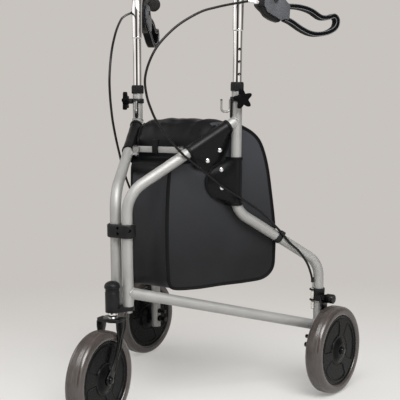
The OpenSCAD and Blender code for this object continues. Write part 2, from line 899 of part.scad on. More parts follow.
// Handles
module handle_tube() {
  color(bright_metal)
    on_handle()
      difference() {
        union() {
          translate([0, 0, handle_end_h])
            cylinder(d = handle_d, h = shoulder_h - handle_end_h);
          rotate([90, 0, 0])
            bent_bar([[0, shoulder_h], [0, bar_h], [bar_len, bar_h]], handle_bend_r, tube_d);
        }
        rotate([90, 0, 0])
          bent_bar([[0, handle_end_h], [0, bar_h], [bar_len, bar_h]], handle_bend_r,
                   handle_bore, cut);
        for (i = [-holes_below : holes_above])
          translate([0, 0, knob_h + i * hole_pitch])
            rotate([90, 0, 0])
              cylinder(d = hole_d, h = tube_d);
      }
}

grip_start = bar_len - grip_len + 4;

module grip() {
  ridge = 1.2;
  color(black_plastic)
    on_handle()
      translate([grip_start, 0, bar_h])
        rotate([0, 90, 0])
          difference() {
            union() {
              cylinder(d = grip_d - 2 * ridge, h = grip_len);
              cylinder(d = grip_d, h = 8);
              translate([0, 0, grip_len - 10])
                cylinder(d = grip_d, h = 10);
            }
            translate([0, 0, -cut])
              cylinder(d = tube_d + 2 * seat_gap, h = cut + bar_len - grip_start);
          }
}

body_ring_x = lever_fit * 52;
body_ring_w = grip_start - body_ring_x - free_gap;

module lever_body() {
  ring_r = tube_r + 4.4;
  boss_w = 12;
  boss_h = 22;
  moulding = [[38, -34], [38, -52], [53, -64], [59, -72], [73, -79], [90, -83], [96, -78],
              [96, -58], [92, -24]];
  color(black_plastic)
    on_handle()
      translate([0, 0, bar_h])
        difference() {
          union() {
            upright(-body_half, body_half)
              polygon(concat(lever_fit * moulding, [[body_ring_x + body_ring_w, -8], [body_ring_x, -8]]));
            translate([body_ring_x, 0, 0])
              rotate([0, 90, 0])
                cylinder(r = ring_r, h = body_ring_w);
            translate([adjuster_at[0], -cable_out - 5, adjuster_at[1] - boss_h / 2 + 4])
              cube([boss_w, cable_out + 5 + body_half, boss_h]);
          }
          translate([body_ring_x - cut, 0, 0])
            rotate([0, 90, 0])
              cylinder(r = tube_r + seat_gap, h = body_ring_w + 2 * cut);
          translate([lever_pivot[0], 0, lever_pivot[1]])
            rotate([90, 0, 0])
              cylinder(d = stud_d + 2 * seat_gap, h = 4 * body_half, center = true);
          translate([adjuster_at[0] - cut, -cable_out, adjuster_at[1]])
            rotate([0, 90, 0])
              cylinder(d = cable_d + 1 + 2 * seat_gap, h = boss_w);
        }
}

module brake_lever() {
  cheek = lever_fit * [[53, -40], [53, -52], [58, -57], [60, -63], [94, -79], [103, -75], [112, -78],
                       [114, -46], [106, -41], [95, -26], [86, -21], [66, -21]];
  color(lever_grey)
    on_handle()
      translate([0, 0, bar_h])
        difference() {
          union() {
            upright(-lever_depth / 2, lever_depth / 2)
              polygon(ribbon(smooth(lever_line, 4), lever_bar / 2));
            for (y = [-cheek_in - cheek_t, cheek_in])
              upright(y, y + cheek_t)
                polygon(cheek);
          }
          translate([lever_pivot[0], 0, lever_pivot[1]])
            rotate([90, 0, 0])
              cylinder(d = stud_d + 2 * run_gap, h = 4 * cheek_in, center = true);
        }
}

module lever_pin() {
  half = cheek_in + cheek_t + free_gap;
  head_t = 2;
  color(bright_metal)
    on_handle()
      translate([lever_pivot[0], 0, bar_h + lever_pivot[1]])
        rotate([90, 0, 0]) {
          cylinder(d = stud_d, h = 2 * half, center = true);
          for (z = [-half - head_t, half])
            translate([0, 0, z])
              cylinder(d = stud_d + 4, h = head_t);
        }
}

module cable_adjuster() {
  sleeve_d = 9;
  color(bright_metal)
    on_handle()
      translate([adjuster_at[0], -cable_out, bar_h + adjuster_at[1]])
        rotate([0, -90, 0]) {
          cylinder(d = sleeve_d, h = adjuster_sleeve);
          translate([0, 0, adjuster_sleeve])
            cylinder(d1 = sleeve_d, d2 = cable_d + 2, h = adjuster_nose);
          translate([0, 0, -8])
            cylinder(d = cable_d + 1, h = 8);
        }
}

// Brake cable: cover, bare wire and threaded barrel
module brake_cable() {
  wire_d = 2;
  barrel_low = band_z - 18;
  color(black_plastic)
    cord(smooth(cable_route, cable_steps), cable_d, cable_sides);
  color(bright_metal)
    translate([barrel_u, 0, band_z + band_h])
      cylinder(d = wire_d, h = cable_bare);
  color(ivory)
    translate([barrel_u, 0, barrel_low])
      cylinder(d = barrel_d, h = band_z + band_h - barrel_low);
}

module cable_clip() {
  ring_t = 1.6;
  ring_w = 12;
  over = clip_u - handle_u;
  color(black_plastic)
    translate([handle_u, 0, socket_z])
      rotate([0, -back_angle, 0])
        translate([over / cos(back_angle), 0, 0])
          rotate([0, 90, 0])
            difference() {
              cylinder(r = tube_r + ring_t, h = ring_w, center = true);
              cylinder(r = tube_r + seat_gap, h = ring_w + 2 * cut, center = true);
            }
}

// Rear brake
module brake_bracket() {
  tab_t = 4;
  tab_reach = leg_u - barrel_u + 5;
  tab_w = 12;
  barrel_hole = barrel_d + 2 * run_gap;
  pin_len = shoe_in + 3;
  color(black_plastic)
    difference() {
      union() {
        translate([leg_u, 0, band_z])
          cylinder(r = band_r, h = band_h);
        for (z = [band_z, band_z + band_h - tab_t])
          translate([leg_u - tab_reach, -tab_w / 2, z])
            cube([tab_reach, tab_w, tab_t]);
        at_leg() {
          translate([0, brake_pivot[0] - 5, brake_pivot[1] - 5])
            cube([shoe_in - free_gap, 10, 10]);
          translate([0, brake_pivot[0], brake_pivot[1]])
            rotate([0, 90, 0])
              cylinder(d = stud_d, h = pin_len + 1.5);
        }
      }
      translate([leg_u, 0, band_z - cut])
        cylinder(r = tube_r + seat_gap, h = band_h + 2 * cut);
      translate([barrel_u, 0, band_z - cut])
        cylinder(d = barrel_hole, h = band_h + 2 * cut);
    }
}

module brake_shoe() {
  arm_t = 3;
  tail_low = brake_z - 30;
  color(black_plastic)
    at_leg()
      difference() {
        union() {
          translate([shoe_in, 0, 0])
            rotate([90, 0, 90])
              linear_extrude(arm_t)
                union() {
                  polygon([[brake_pivot[0] - 7, brake_pivot[1]], [brake_pivot[0], brake_pivot[1] + 7],
                           [shoe_at[0], shoe_at[1] + shoe_r], [shoe_at[0] + 4, shoe_at[1] - 6],
                           [shoe_at[0] - 2, tail_low], [-14, tail_low],
                           [brake_pivot[0] - 4, brake_pivot[1] - 8]]);
                  translate([shoe_at[0], shoe_at[1]])
                    circle(r = shoe_r);
                }
          translate([shoe_in, shoe_at[0], shoe_at[1]])
            rotate([0, 90, 0])
              cylinder(r = shoe_r, h = shoe_len);
        }
        translate([0, brake_pivot[0], brake_pivot[1]])
          rotate([0, 90, 0])
            cylinder(d = stud_d + 2 * run_gap, h = shoe_in + arm_t + cut);
      }
}

// Folding spreader, drawn on the left of the centre line; layer is -1 in front, 1 behind
link_pin_d = 5;

module spreader_clevis(layer) {
  base_z = eye_z + eye_t / 2 + free_gap;
  cheek_t2 = 4;
  cheek_y = layer > 0 ? -cheek_t2 - layer_gap : layer_gap;
  pin_y = layer > 0 ? -layer_gap - cheek_t2 : -layer_gap - spread_bar_t - 2;
  color(bright_metal)
    translate([eye_x, eye_y, 0]) {
      translate([0, 0, eye_z - eye_t])
        cylinder(d = eye_d, h = base_z - eye_z + eye_t);
      difference() {
        union() {
          translate([0, 0, base_z])
            cylinder(r = clevis_r, h = clevis_h);
          translate([-link_pivot_in - 5, cheek_y, base_z])
            cube([link_pivot_in + 5, cheek_t2, clevis_h]);
        }
        translate([-link_pivot_in, 0, link_z])
          rotate([90, 0, 0])
            translate([0, 0, layer > 0 ? -clevis_r - cut : layer_gap - 2 * free_gap])
              cylinder(r = spread_bar_h / 2 + 2, h = clevis_r + cut + free_gap);
      }
      translate([-link_pivot_in, pin_y, link_z])
        rotate([-90, 0, 0])
          cylinder(d = link_pin_d, h = layer_gap + spread_bar_t + cheek_t2 + layer_gap + 2);
    }
}

module spreader_link(layer) {
  y = layer > 0 ? layer_gap : -layer_gap - spread_bar_t;
  reach = eye_x - link_pivot_in + lap;
  half = spread_bar_h / 2;
  color(frame_paint)
    translate([eye_x - link_pivot_in, eye_y + y, link_z])
      rotate([-90, 0, 0])
        difference() {
          union() {
            cylinder(r = half, h = spread_bar_t);
            translate([-reach, -half, 0])
              cube([reach, 2 * half, spread_bar_t]);
          }
          translate([0, 0, -cut])
            cylinder(d = link_pin_d + 2 * run_gap, h = spread_bar_t + 2 * cut);
        }
}

module spreader_strap() {
  strap_w = 16;
  strap_t = 2;
  up = 15;
  front = eye_y - layer_gap - spread_bar_t;
  color(black_vinyl)
    translate([-strap_w / 2, front - strap_t - seat_gap, link_z - spread_bar_h / 2])
      cube([strap_w, strap_t, spread_bar_h + up]);
}

upper_hinge_bracket();
lower_hinge_bracket();
caster_cap();
caster_bushes();
hinge_pins();
carry_bag();
caster_stem();
caster_fork();
front_axle();
front_place() tyre();  // front_tyre
front_place() wheel_hub(front_panel_turn);  // front_wheel_hub
left() front_tube();  // left_front_tube
left() rear_tube();  // left_rear_tube
left() lower_rail();  // left_lower_rail
left() post_plug();  // left_post_plug
left() handle_clamp();  // left_handle_clamp
left() basket_hook();  // left_basket_hook
left() cable_clip();  // left_cable_clip
left() rear_axle();  // left_rear_axle
left() brake_bracket();  // left_brake_bracket
left() bag_flap();  // left_bag_flap
left() flap_studs();  // left_flap_studs
left() star_knob();  // left_star_knob
left() handle_tube();  // left_handle_tube
left() grip();  // left_grip
left() lever_body();  // left_lever_body
left() brake_lever();  // left_brake_lever
left() lever_pin();  // left_lever_pin
left() cable_adjuster();  // left_cable_adjuster
left() brake_cable();  // left_brake_cable
left() brake_shoe();  // left_brake_shoe
left() rear_place() tyre();  // left_rear_tyre
left() rear_place() wheel_hub(rear_panel_turn);  // left_rear_hub
spreader_clevis(-1);  // left_spreader_clevis
spreader_link(-1);  // left_spreader_link
right() front_tube();  // right_front_tube
right() rear_tube();  // right_rear_tube
right() lower_rail();  // right_lower_rail
right() post_plug();  // right_post_plug
right() handle_clamp();  // right_handle_clamp
right() basket_hook();  // right_basket_hook
right() cable_clip();  // right_cable_clip
right() rear_axle();  // right_rear_axle
right() brake_bracket();  // right_brake_bracket
right() bag_flap();  // right_bag_flap
right() flap_studs();  // right_flap_studs
right() star_knob();  // right_star_knob
right() handle_tube();  // right_handle_tube
right() grip();  // right_grip
right() lever_body();  // right_lever_body
right() brake_lever();  // right_brake_lever
right() lever_pin();  // right_lever_pin
right() cable_adjuster();  // right_cable_adjuster
right() brake_cable();  // right_brake_cable
right() brake_shoe();  // right_brake_shoe
right() rear_place() tyre();  // right_rear_tyre
right() rear_place() wheel_hub(rear_panel_turn);  // right_rear_hub
mirror([1, 0, 0]) spreader_clevis(1);  // right_spreader_clevis
mirror([1, 0, 0]) spreader_link(1);  // right_spreader_link
spreader_strap();
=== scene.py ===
"""Folding three wheel walking aid: moulded detail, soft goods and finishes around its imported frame."""

import json
import math

import bmesh
import bpy
from bpy.props import FloatProperty, FloatVectorProperty, PointerProperty
from mathutils import Matrix, Vector, noise


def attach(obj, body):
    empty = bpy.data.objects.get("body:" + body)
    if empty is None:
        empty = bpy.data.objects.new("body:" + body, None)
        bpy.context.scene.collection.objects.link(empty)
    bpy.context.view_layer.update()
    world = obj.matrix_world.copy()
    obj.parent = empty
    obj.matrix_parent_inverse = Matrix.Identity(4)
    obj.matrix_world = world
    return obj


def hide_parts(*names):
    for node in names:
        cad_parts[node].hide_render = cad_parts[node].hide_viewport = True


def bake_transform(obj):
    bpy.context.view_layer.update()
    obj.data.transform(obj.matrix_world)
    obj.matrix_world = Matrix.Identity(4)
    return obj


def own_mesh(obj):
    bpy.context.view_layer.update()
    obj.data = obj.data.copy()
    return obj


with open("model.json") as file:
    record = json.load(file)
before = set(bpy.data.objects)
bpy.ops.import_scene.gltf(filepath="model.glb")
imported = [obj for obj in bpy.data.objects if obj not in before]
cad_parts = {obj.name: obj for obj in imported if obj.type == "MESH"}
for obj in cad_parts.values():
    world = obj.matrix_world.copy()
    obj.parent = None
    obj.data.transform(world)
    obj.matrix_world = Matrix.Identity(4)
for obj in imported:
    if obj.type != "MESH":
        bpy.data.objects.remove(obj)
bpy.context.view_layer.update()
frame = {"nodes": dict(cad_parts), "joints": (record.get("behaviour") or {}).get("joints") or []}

bl_info = {
    "name": "Three Wheel Rollator",
    "version": (1, 0, 0),
    "blender": (4, 5, 0),
    "location": "3D View > Sidebar > Rollator",
    "description": "Dresses the packed frame of a folding three wheel walking aid",
    "category": "Object",
}

# Places, in millimetres until MM turns them into the frame's metres
JOINT = {j["name"]: j for j in frame["joints"]}
MM = Matrix.Diagonal((0.001, 0.001, 0.001, 1.0))
MIRROR = Matrix.Diagonal((-1.0, 1.0, 1.0, 1.0))


def joint_mm(name):
    return Vector(JOINT[name]["pos_m"]) * 1000.0


def shift(x=0.0, y=0.0, z=0.0):
    return Matrix.Translation((x, y, z))


def turn(degrees, axis):
    return Matrix.Rotation(math.radians(degrees), 4, axis)


POST = joint_mm("left_fold")
STEM = joint_mm("caster_swivel")
SPLAY = math.degrees(math.acos(JOINT["left_knob_turn"]["axis"][0]))
LEAN = math.degrees(math.acos(JOINT["left_handle_height"]["axis"][2]))
CASTER_TURN = math.degrees(math.asin(JOINT["front_wheel_spin"]["axis"][1]))
LEFT = MM @ shift(POST.x, POST.y) @ turn(90 - SPLAY, "Z")
RIGHT = MM @ MIRROR @ shift(POST.x, POST.y) @ turn(90 - SPLAY, "Z")
SIDES = (("left", LEFT), ("right", RIGHT))
AT_CASTER = MM @ shift(STEM.x, STEM.y) @ turn(CASTER_TURN, "Z")
HEAD = MM @ shift(0, POST.y)
# Side frame: u runs back along it from the front post, z up from the floor
LEG_U = 438.0
AT_LEG = shift(LEG_U) @ turn(SPLAY - 90, "Z")
HANDLE_FOOT = (237.0, 0.0, 408.4)
ON_HANDLE = shift(*HANDLE_FOOT) @ turn(LEAN, "Y")
DIAG = 30.87
DIAG_FOOT_Z = 451.4
ON_DIAG = shift(0, 0, DIAG_FOOT_Z) @ turn(-DIAG, "Y")
TUBE_R = 11.1
# Inner radius of what sits on a tube
SEAT_R = 11.12
# Heights along the handle post
BAR_H = 474.0
KNOB_H = 230.4
# Wheels
WHEEL_OUT = 38.0
AXLE_Z = joint_mm("front_wheel_spin").z
TRAIL = 50.0
# Ways to lay a shape that is drawn along z
UPRIGHT = turn(90, "X")
ALONG_X = turn(90, "Y")

# Middle line of a brake cable, from the lever's adjuster to the brake: u, across, z
CABLE_ROUTE = (
    (259.2, -15, 836.6), (220, -15.5, 829), (186, -16, 821), (154, -16, 811), (111, -16, 787),
    (79, -16, 760), (58, -16, 735), (43, -16, 705), (36, -16, 676), (39, -16, 647),
    (46, -16, 624), (60, -16, 594), (87, -16, 558), (115, -16, 528), (132, -17, 514),
    (160, -18, 492), (195, -18, 464), (241, -18, 435), (291.3, -15, 401.7), (317.4, -13, 378.4),
    (337.5, -12, 358.9), (358.6, -16, 333.3), (380.7, -15, 314), (402.8, -10, 287.3),
    (415.9, -4, 263.2), (423, 0, 244),
)


# Settings
class RollatorColours(bpy.types.PropertyGroup):
    """Colours of the finishes"""
    frame_paint: FloatVectorProperty(
        name="Frame paint", description="Silver paint of the tubes", subtype="COLOR",
        default=(0.365, 0.365, 0.354), min=0, max=1)
    vinyl: FloatVectorProperty(
        name="Vinyl", description="Leathercloth of the bag and its flaps", subtype="COLOR",
        default=(0.0092, 0.0097, 0.0110), min=0, max=1)
    moulding: FloatVectorProperty(
        name="Mouldings", description="Black plastic of brackets, knobs and wheels", subtype="COLOR",
        default=(0.0085, 0.0085, 0.0089), min=0, max=1)
    lever: FloatVectorProperty(
        name="Levers", description="Dark grey of the brake levers", subtype="COLOR",
        default=(0.075, 0.078, 0.085), min=0, max=1)
    tyre: FloatVectorProperty(
        name="Tyres", description="Taupe of the tyres", subtype="COLOR",
        default=(0.054, 0.044, 0.040), min=0, max=1)
    ivory: FloatVectorProperty(
        name="Ivory plastic", description="Cable barrels and swivel bushes", subtype="COLOR",
        default=(0.60, 0.585, 0.53), min=0, max=1)
    floor: FloatVectorProperty(
        name="Floor", description="Studio floor", subtype="COLOR",
        default=(0.80, 0.785, 0.765), min=0, max=1)
    backdrop: FloatVectorProperty(
        name="Backdrop", description="Studio behind the object", subtype="COLOR",
        default=(0.575, 0.545, 0.515), min=0, max=1)


class RollatorSizes(bpy.types.PropertyGroup):
    """Sizes of the fine detail, in millimetres"""
    piping: FloatProperty(
        name="Piping", description="Radius of the bag's piping (mm)", default=2.3, min=1, max=4)
    crease: FloatProperty(
        name="Creases", description="Depth of the folds in the bag's lid (mm)", default=4.6, min=0, max=8)
    hem: FloatProperty(
        name="Hem", description="Width of the bound edge of the flaps (mm)", default=6.0, min=3, max=9)
    weld: FloatProperty(
        name="Weld", description="Radius of the weld beads (mm)", default=2.0, min=1, max=3)
    groove: FloatProperty(
        name="Tread groove", description="Depth of the tyres' grooves (mm)", default=0.4, min=0.2, max=1.5)
    edge: FloatProperty(
        name="Edges", description="Rounding of moulded edges (mm)", default=1.6, min=0.4, max=2.5)


class RollatorStage(bpy.types.PropertyGroup):
    """Camera and light"""
    azimuth: FloatProperty(
        name="Azimuth", description="Camera's turn from the front", subtype="ANGLE",
        default=math.radians(37.4))
    elevation: FloatProperty(
        name="Elevation", description="Camera's height angle", subtype="ANGLE",
        default=math.radians(5.7))
    roll: FloatProperty(
        name="Roll", description="Camera's tilt", subtype="ANGLE", default=math.radians(-0.4))
    lens: FloatProperty(
        name="Lens", description="Focal length", unit="CAMERA", default=78.44)
    key: FloatProperty(
        name="Key light", description="Power of the large soft light", unit="POWER", default=80)
    fill: FloatProperty(
        name="Fill light", description="Power of the side light", unit="POWER", default=10)
    top: FloatProperty(
        name="Top light", description="Power of the light overhead", unit="POWER", default=24)
    sky: FloatProperty(
        name="Sky", description="Strength of the even light all round", default=0.32, min=0, max=2)


def colours():
    return bpy.context.scene.rollator_colours


def sizes():
    return bpy.context.scene.rollator_sizes


# Outlines
def arc(centre, radius, start, end, steps):
    return [(centre[0] + radius * math.cos(math.radians(start + (end - start) * i / steps)),
             centre[1] + radius * math.sin(math.radians(start + (end - start) * i / steps)))
            for i in range(steps + 1)]


def circle(centre, radius, steps=32):
    return arc(centre, radius, 0, 360 - 360 / steps, steps - 1)


def rounded(outline, radius, steps=4):
    """The closed outline with each corner turned into an arc."""
    result = []
    count = len(outline)
    for i, corner in enumerate(outline):
        here = Vector(corner)
        before = Vector(outline[i - 1]) - here
        after = Vector(outline[(i + 1) % count]) - here
        reach = min(radius, before.length * 0.45, after.length * 0.45)
        start = here + before.normalized() * reach
        end = here + after.normalized() * reach
        for k in range(steps + 1):
            t = k / steps
            point = start * (1 - t) ** 2 + here * (2 * t * (1 - t)) + end * t ** 2
            result.append((point.x, point.y))
    return result


def hull(points):
    """Convex outline round the points."""
    points = sorted(set((round(x, 4), round(y, 4)) for x, y in points))

    def half(order):
        chain = []
        for p in order:
            while len(chain) > 1:
                a, b = chain[-2], chain[-1]
                if (b[0] - a[0]) * (p[1] - a[1]) - (b[1] - a[1]) * (p[0] - a[0]) > 0:
                    break
                chain.pop()
            chain.append(p)
        return chain[:-1]

    return half(points) + half(points[::-1])


def smooth_path(points, steps):
    """Even curve through the points."""
    points = [Vector(p) for p in points]
    last = len(points) - 1
    path = []
    for i in range(last):
        a, b = points[max(i - 1, 0)], points[i]
        c, d = points[i + 1], points[min(i + 2, last)]
        for k in range(steps):
            t = k / steps
            path.append(0.5 * (2 * b + (c - a) * t + (2 * a - 5 * b + 4 * c - d) * t * t
                               + (3 * b - a - 3 * c + d) * t ** 3))
    return path + [points[last]]


def round_section(radius, sides=12):
    return circle((0, 0), radius, sides)


def slope(value, low, high):
    """0 below low, 1 above high, smooth between."""
    t = min(max((value - low) / (high - low), 0.0), 1.0)
    return t * t * (3 - 2 * t)


class Mould:
    """Gathers the shapes of one piece in millimetres."""
    SHARP_EDGE = math.radians(38.0)

    def __init__(self):
        self.mesh = bmesh.new()

    def take(self, shape, at=None, bevel=0.0):
        """Takes in a shape at its place, with its sharp edges rounded."""
        bmesh.ops.recalc_face_normals(shape, faces=shape.faces)
        if bevel:
            edges = [e for e in shape.edges
                     if e.is_manifold and e.calc_face_angle() > self.SHARP_EDGE]
            bmesh.ops.bevel(shape, geom=edges, offset=bevel, segments=3, profile=0.5,
                            affect="EDGES", clamp_overlap=True)
        if at is not None:
            bmesh.ops.transform(shape, matrix=at, verts=shape.verts)
            if at.determinant() < 0:
                bmesh.ops.reverse_faces(shape, faces=shape.faces)
        store = bpy.data.meshes.new("store")
        shape.to_mesh(store)
        shape.free()
        self.mesh.from_mesh(store)
        bpy.data.meshes.remove(store)
        return self

    def add(self, points, faces, at=None):
        """Takes in a shape given by its points and faces."""
        shape = bmesh.new()
        corners = [shape.verts.new(p) for p in points]
        for face in faces:
            shape.faces.new([corners[i] for i in face])
        return self.take(shape, at)

    def plate(self, outline, low, high, at=None, bevel=0.0, holes=()):
        """Outline raised from one height to another, with any holes through it."""
        shape = bmesh.new()
        edges = []
        for loop in (outline, *holes):
            corners = [shape.verts.new((x, y, low)) for x, y in loop]
            edges += [shape.edges.new((a, b)) for a, b in zip(corners, corners[1:] + corners[:1])]
        if holes:
            bmesh.ops.triangle_fill(shape, use_beauty=True, edges=edges)
        else:
            shape.faces.new(corners)
        grown = bmesh.ops.extrude_face_region(shape, geom=list(shape.faces), use_keep_orig=True)
        lifted = [g for g in grown["geom"] if isinstance(g, bmesh.types.BMVert)]
        bmesh.ops.translate(shape, vec=(0, 0, high - low), verts=lifted)
        return self.take(shape, at, bevel)

    def block(self, low, high, at=None, bevel=1.0):
        """Box between two corners."""
        outline = [(low[0], low[1]), (high[0], low[1]), (high[0], high[1]), (low[0], high[1])]
        return self.plate(outline, low[2], high[2], at, bevel)

    def lathe(self, profile, at=None, steps=48, ripple=None):
        """Turns (radius, height) points about z; a profile off the axis is closed on itself."""
        points, rings = [], []
        for r, z in profile:
            first = len(points)
            if r < 1e-6:
                points.append((0, 0, z))
                rings.append([first])
                continue
            for k in range(steps):
                a = 2 * math.pi * k / steps
                here = ripple(a, r, z) if ripple else r
                points.append((here * math.cos(a), here * math.sin(a), z))
            rings.append(list(range(first, first + steps)))
        pairs = list(zip(rings, rings[1:]))
        if len(rings[0]) > 1 and len(rings[-1]) > 1:
            pairs.append((rings[-1], rings[0]))
        faces = []
        for a, b in pairs:
            if len(a) == 1 and len(b) == 1:
                continue
            for k in range(steps):
                n = (k + 1) % steps
                if len(a) == 1:
                    faces.append((a[0], b[k], b[n]))
                elif len(b) == 1:
                    faces.append((a[k], b[0], a[n]))
                else:
                    faces.append((a[k], b[k], b[n], a[n]))
        return self.add(points, faces, at)

    def sweep(self, path, section, at=None, flat=None, closed=False):
        """Carries a section along a path; flat keeps the section's second axis in one direction.
        The section is a list of points, or a function of the share of the path that gives one."""
        path = [Vector(p) for p in path]
        count = len(path)
        points, side = [], None
        for i, here in enumerate(path):
            after = path[(i + 1) % count] if closed else path[min(i + 1, count - 1)]
            before = path[i - 1] if closed else path[max(i - 1, 0)]
            ahead = (after - before).normalized()
            if flat is not None:
                over = Vector(flat)
                over = (over - ahead * over.dot(ahead)).normalized()
                side = over.cross(ahead)
            else:
                if side is None:
                    side = ahead.orthogonal()
                side = (side - ahead * side.dot(ahead)).normalized()
                over = ahead.cross(side)
            drawn = section(i / (count - 1)) if callable(section) else section
            points += [here + side * a + over * b for a, b in drawn]
        sides = len(points) // count
        faces = []
        for i in range(count if closed else count - 1):
            for k in range(sides):
                a, b = i * sides + k, i * sides + (k + 1) % sides
                c, d = ((i + 1) % count) * sides + (k + 1) % sides, ((i + 1) % count) * sides + k
                faces.append((a, b, c, d))
        if not closed:
            faces.append(tuple(range(sides)))
            faces.append(tuple(range((count - 1) * sides, count * sides)))
        return self.add(points, faces, at)

    def skin(self, rows, thickness, at=None):
        """Sheet through rows of points, given a thickness."""
        count = len(rows[0])
        shape = bmesh.new()
        grid = [[shape.verts.new(p) for p in row] for row in rows]
        for a, b in zip(grid, grid[1:]):
            for k in range(count - 1):
                shape.faces.new((a[k], b[k], b[k + 1], a[k + 1]))
        bmesh.ops.recalc_face_normals(shape, faces=shape.faces)
        bmesh.ops.solidify(shape, geom=list(shape.faces), thickness=thickness)
        return self.take(shape, at)

    def bore(self, tool):
        """Cuts another mould's shape out of this one."""
        pair = []
        for name, mould in (("stock", self), ("tool", tool)):
            mesh = bpy.data.meshes.new(name)
            mould.mesh.to_mesh(mesh)
            mould.mesh.free()
            pair.append(bpy.data.objects.new(name, mesh))
            bpy.context.scene.collection.objects.link(pair[-1])
        cut = pair[0].modifiers.new("bore", "BOOLEAN")
        cut.operation = "DIFFERENCE"
        cut.solver = "EXACT"
        cut.object = pair[1]
        graph = bpy.context.evaluated_depsgraph_get()
        shaped = bpy.data.meshes.new_from_object(pair[0].evaluated_get(graph))
        self.mesh = bmesh.new()
        self.mesh.from_mesh(shaped)
        for mesh in [piece.data for piece in pair] + [shaped]:
            bpy.data.meshes.remove(mesh)

    def make(self, name, place, finish, body, nodes=(), slot=None, angle=40.0):
        """Turns what was gathered into an object that rides a body and stands for the named nodes."""
        bmesh.ops.transform(self.mesh, matrix=place, verts=self.mesh.verts)
        if place.determinant() < 0:
            bmesh.ops.reverse_faces(self.mesh, faces=self.mesh.faces)
        mesh = bpy.data.meshes.new(name)
        self.mesh.to_mesh(mesh)
        self.mesh.free()
        mesh.materials.append(finish)
        mesh.shade_smooth()
        mesh.set_sharp_from_angle(angle=math.radians(angle))
        piece = bpy.data.objects.new(name, mesh)
        bpy.context.scene.collection.objects.link(piece)
        if body:
            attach(piece, body)
        if nodes:
            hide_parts(*nodes)
        return piece


class Finish:
    """One node material in the making."""
    # Levels of a cloud between which its colour and its gloss change
    TONE_STOPS = (0.35, 0.65)
    GLOSS_STOPS = (0.3, 0.7)
    # Colour sockets of a mix node
    MIX_IN = (6, 7)
    MIX_OUT = 2

    def __init__(self, name):
        self.material = bpy.data.materials.new(name)
        self.material.use_nodes = True
        self.nodes = self.material.node_tree.nodes
        self.links = self.material.node_tree.links
        self.shader = self.nodes["Principled BSDF"]
        self.coords = self.nodes.new("ShaderNodeTexCoord").outputs["Object"]

    def put(self, **values):
        for name, value in values.items():
            socket = name.replace("_", " ").title().replace("Ior", "IOR")
            self.shader.inputs[socket].default_value = value
        return self

    def cloud(self, scale, detail):
        node = self.nodes.new("ShaderNodeTexNoise")
        node.inputs["Scale"].default_value = scale
        node.inputs["Detail"].default_value = detail
        self.links.new(self.coords, node.inputs["Vector"])
        return node.outputs["Fac"]

    def height(self, low, high):
        """0 at the low height above the floor, 1 at the high one."""
        split = self.nodes.new("ShaderNodeSeparateXYZ")
        self.links.new(self.coords, split.inputs["Vector"])
        return self.spread(split.outputs["Z"], low, high, 0.0, 1.0)

    def cells(self, scale):
        node = self.nodes.new("ShaderNodeTexVoronoi")
        node.feature = "DISTANCE_TO_EDGE"
        node.inputs["Scale"].default_value = scale
        self.links.new(self.coords, node.inputs["Vector"])
        return node.outputs["Distance"]

    def spread(self, source, low, high, to_low, to_high, course="LINEAR"):
        """A value carried from one range to another."""
        node = self.nodes.new("ShaderNodeMapRange")
        node.interpolation_type = course
        for name, value in (("From Min", low), ("From Max", high), ("To Min", to_low), ("To Max", to_high)):
            node.inputs[name].default_value = value
        self.links.new(source, node.inputs["Value"])
        return node.outputs["Result"]

    def colour(self, source, first, second):
        ramp = self.nodes.new("ShaderNodeValToRGB")
        for stop, level, tone in zip(ramp.color_ramp.elements, self.TONE_STOPS, (first, second)):
            stop.position = level
            stop.color = (*tone, 1)
        self.links.new(source, ramp.inputs["Fac"])
        return ramp.outputs["Color"]

    def mix(self, factor, first, second):
        node = self.nodes.new("ShaderNodeMix")
        node.data_type = "RGBA"
        self.links.new(factor, node.inputs["Factor"])
        for place, value in zip(self.MIX_IN, (first, second)):
            if isinstance(value, (tuple, list)):
                node.inputs[place].default_value = (*value, 1)
            else:
                self.links.new(value, node.inputs[place])
        return node.outputs[self.MIX_OUT]

    def edges(self, low, high):
        """Share of wear on raised edges."""
        geometry = self.nodes.new("ShaderNodeNewGeometry")
        return self.spread(geometry.outputs["Pointiness"], low, high, 0.0, 1.0)

    def base(self, source):
        self.links.new(source, self.shader.inputs["Base Color"])
        return self

    def gloss(self, source, low, high):
        rough = self.spread(source, *self.GLOSS_STOPS, low, high)
        self.links.new(rough, self.shader.inputs["Roughness"])
        return self

    def bump(self, source, strength, depth):
        node = self.nodes.new("ShaderNodeBump")
        node.inputs["Strength"].default_value = strength
        node.inputs["Distance"].default_value = depth
        self.links.new(source, node.inputs["Height"])
        before = self.shader.inputs["Normal"].links
        if before:
            self.links.new(before[0].from_socket, node.inputs["Normal"])
        self.links.new(node.outputs["Normal"], self.shader.inputs["Normal"])
        return self


def tint(colour, factor):
    return tuple(min(c * factor, 1.0) for c in colour)


def silver_paint():
    f = Finish("silver_paint")
    c = colours().frame_paint
    fine = f.cloud(2600, 2)
    broad = f.cloud(18, 4)
    tone = f.colour(broad, tint(c, 0.93), tint(c, 1.05))
    flakes = f.mix(f.spread(fine, 0.62, 0.72, 0.0, 0.25), tone, tint(c, 1.5))
    f.base(flakes).gloss(f.cloud(60, 5), 0.45, 0.55).bump(f.cloud(420, 3), 0.05, 0.0003)
    return f.put(metallic=0.42, coat_weight=0.05, coat_roughness=0.25).material


def chrome():
    f = Finish("chrome")
    f.base(f.colour(f.cloud(30, 4), (0.70, 0.70, 0.71), (0.80, 0.80, 0.80)))
    f.gloss(f.cloud(45, 6), 0.04, 0.10).bump(f.cloud(900, 2), 0.01, 0.0002)
    return f.put(metallic=1.0).material


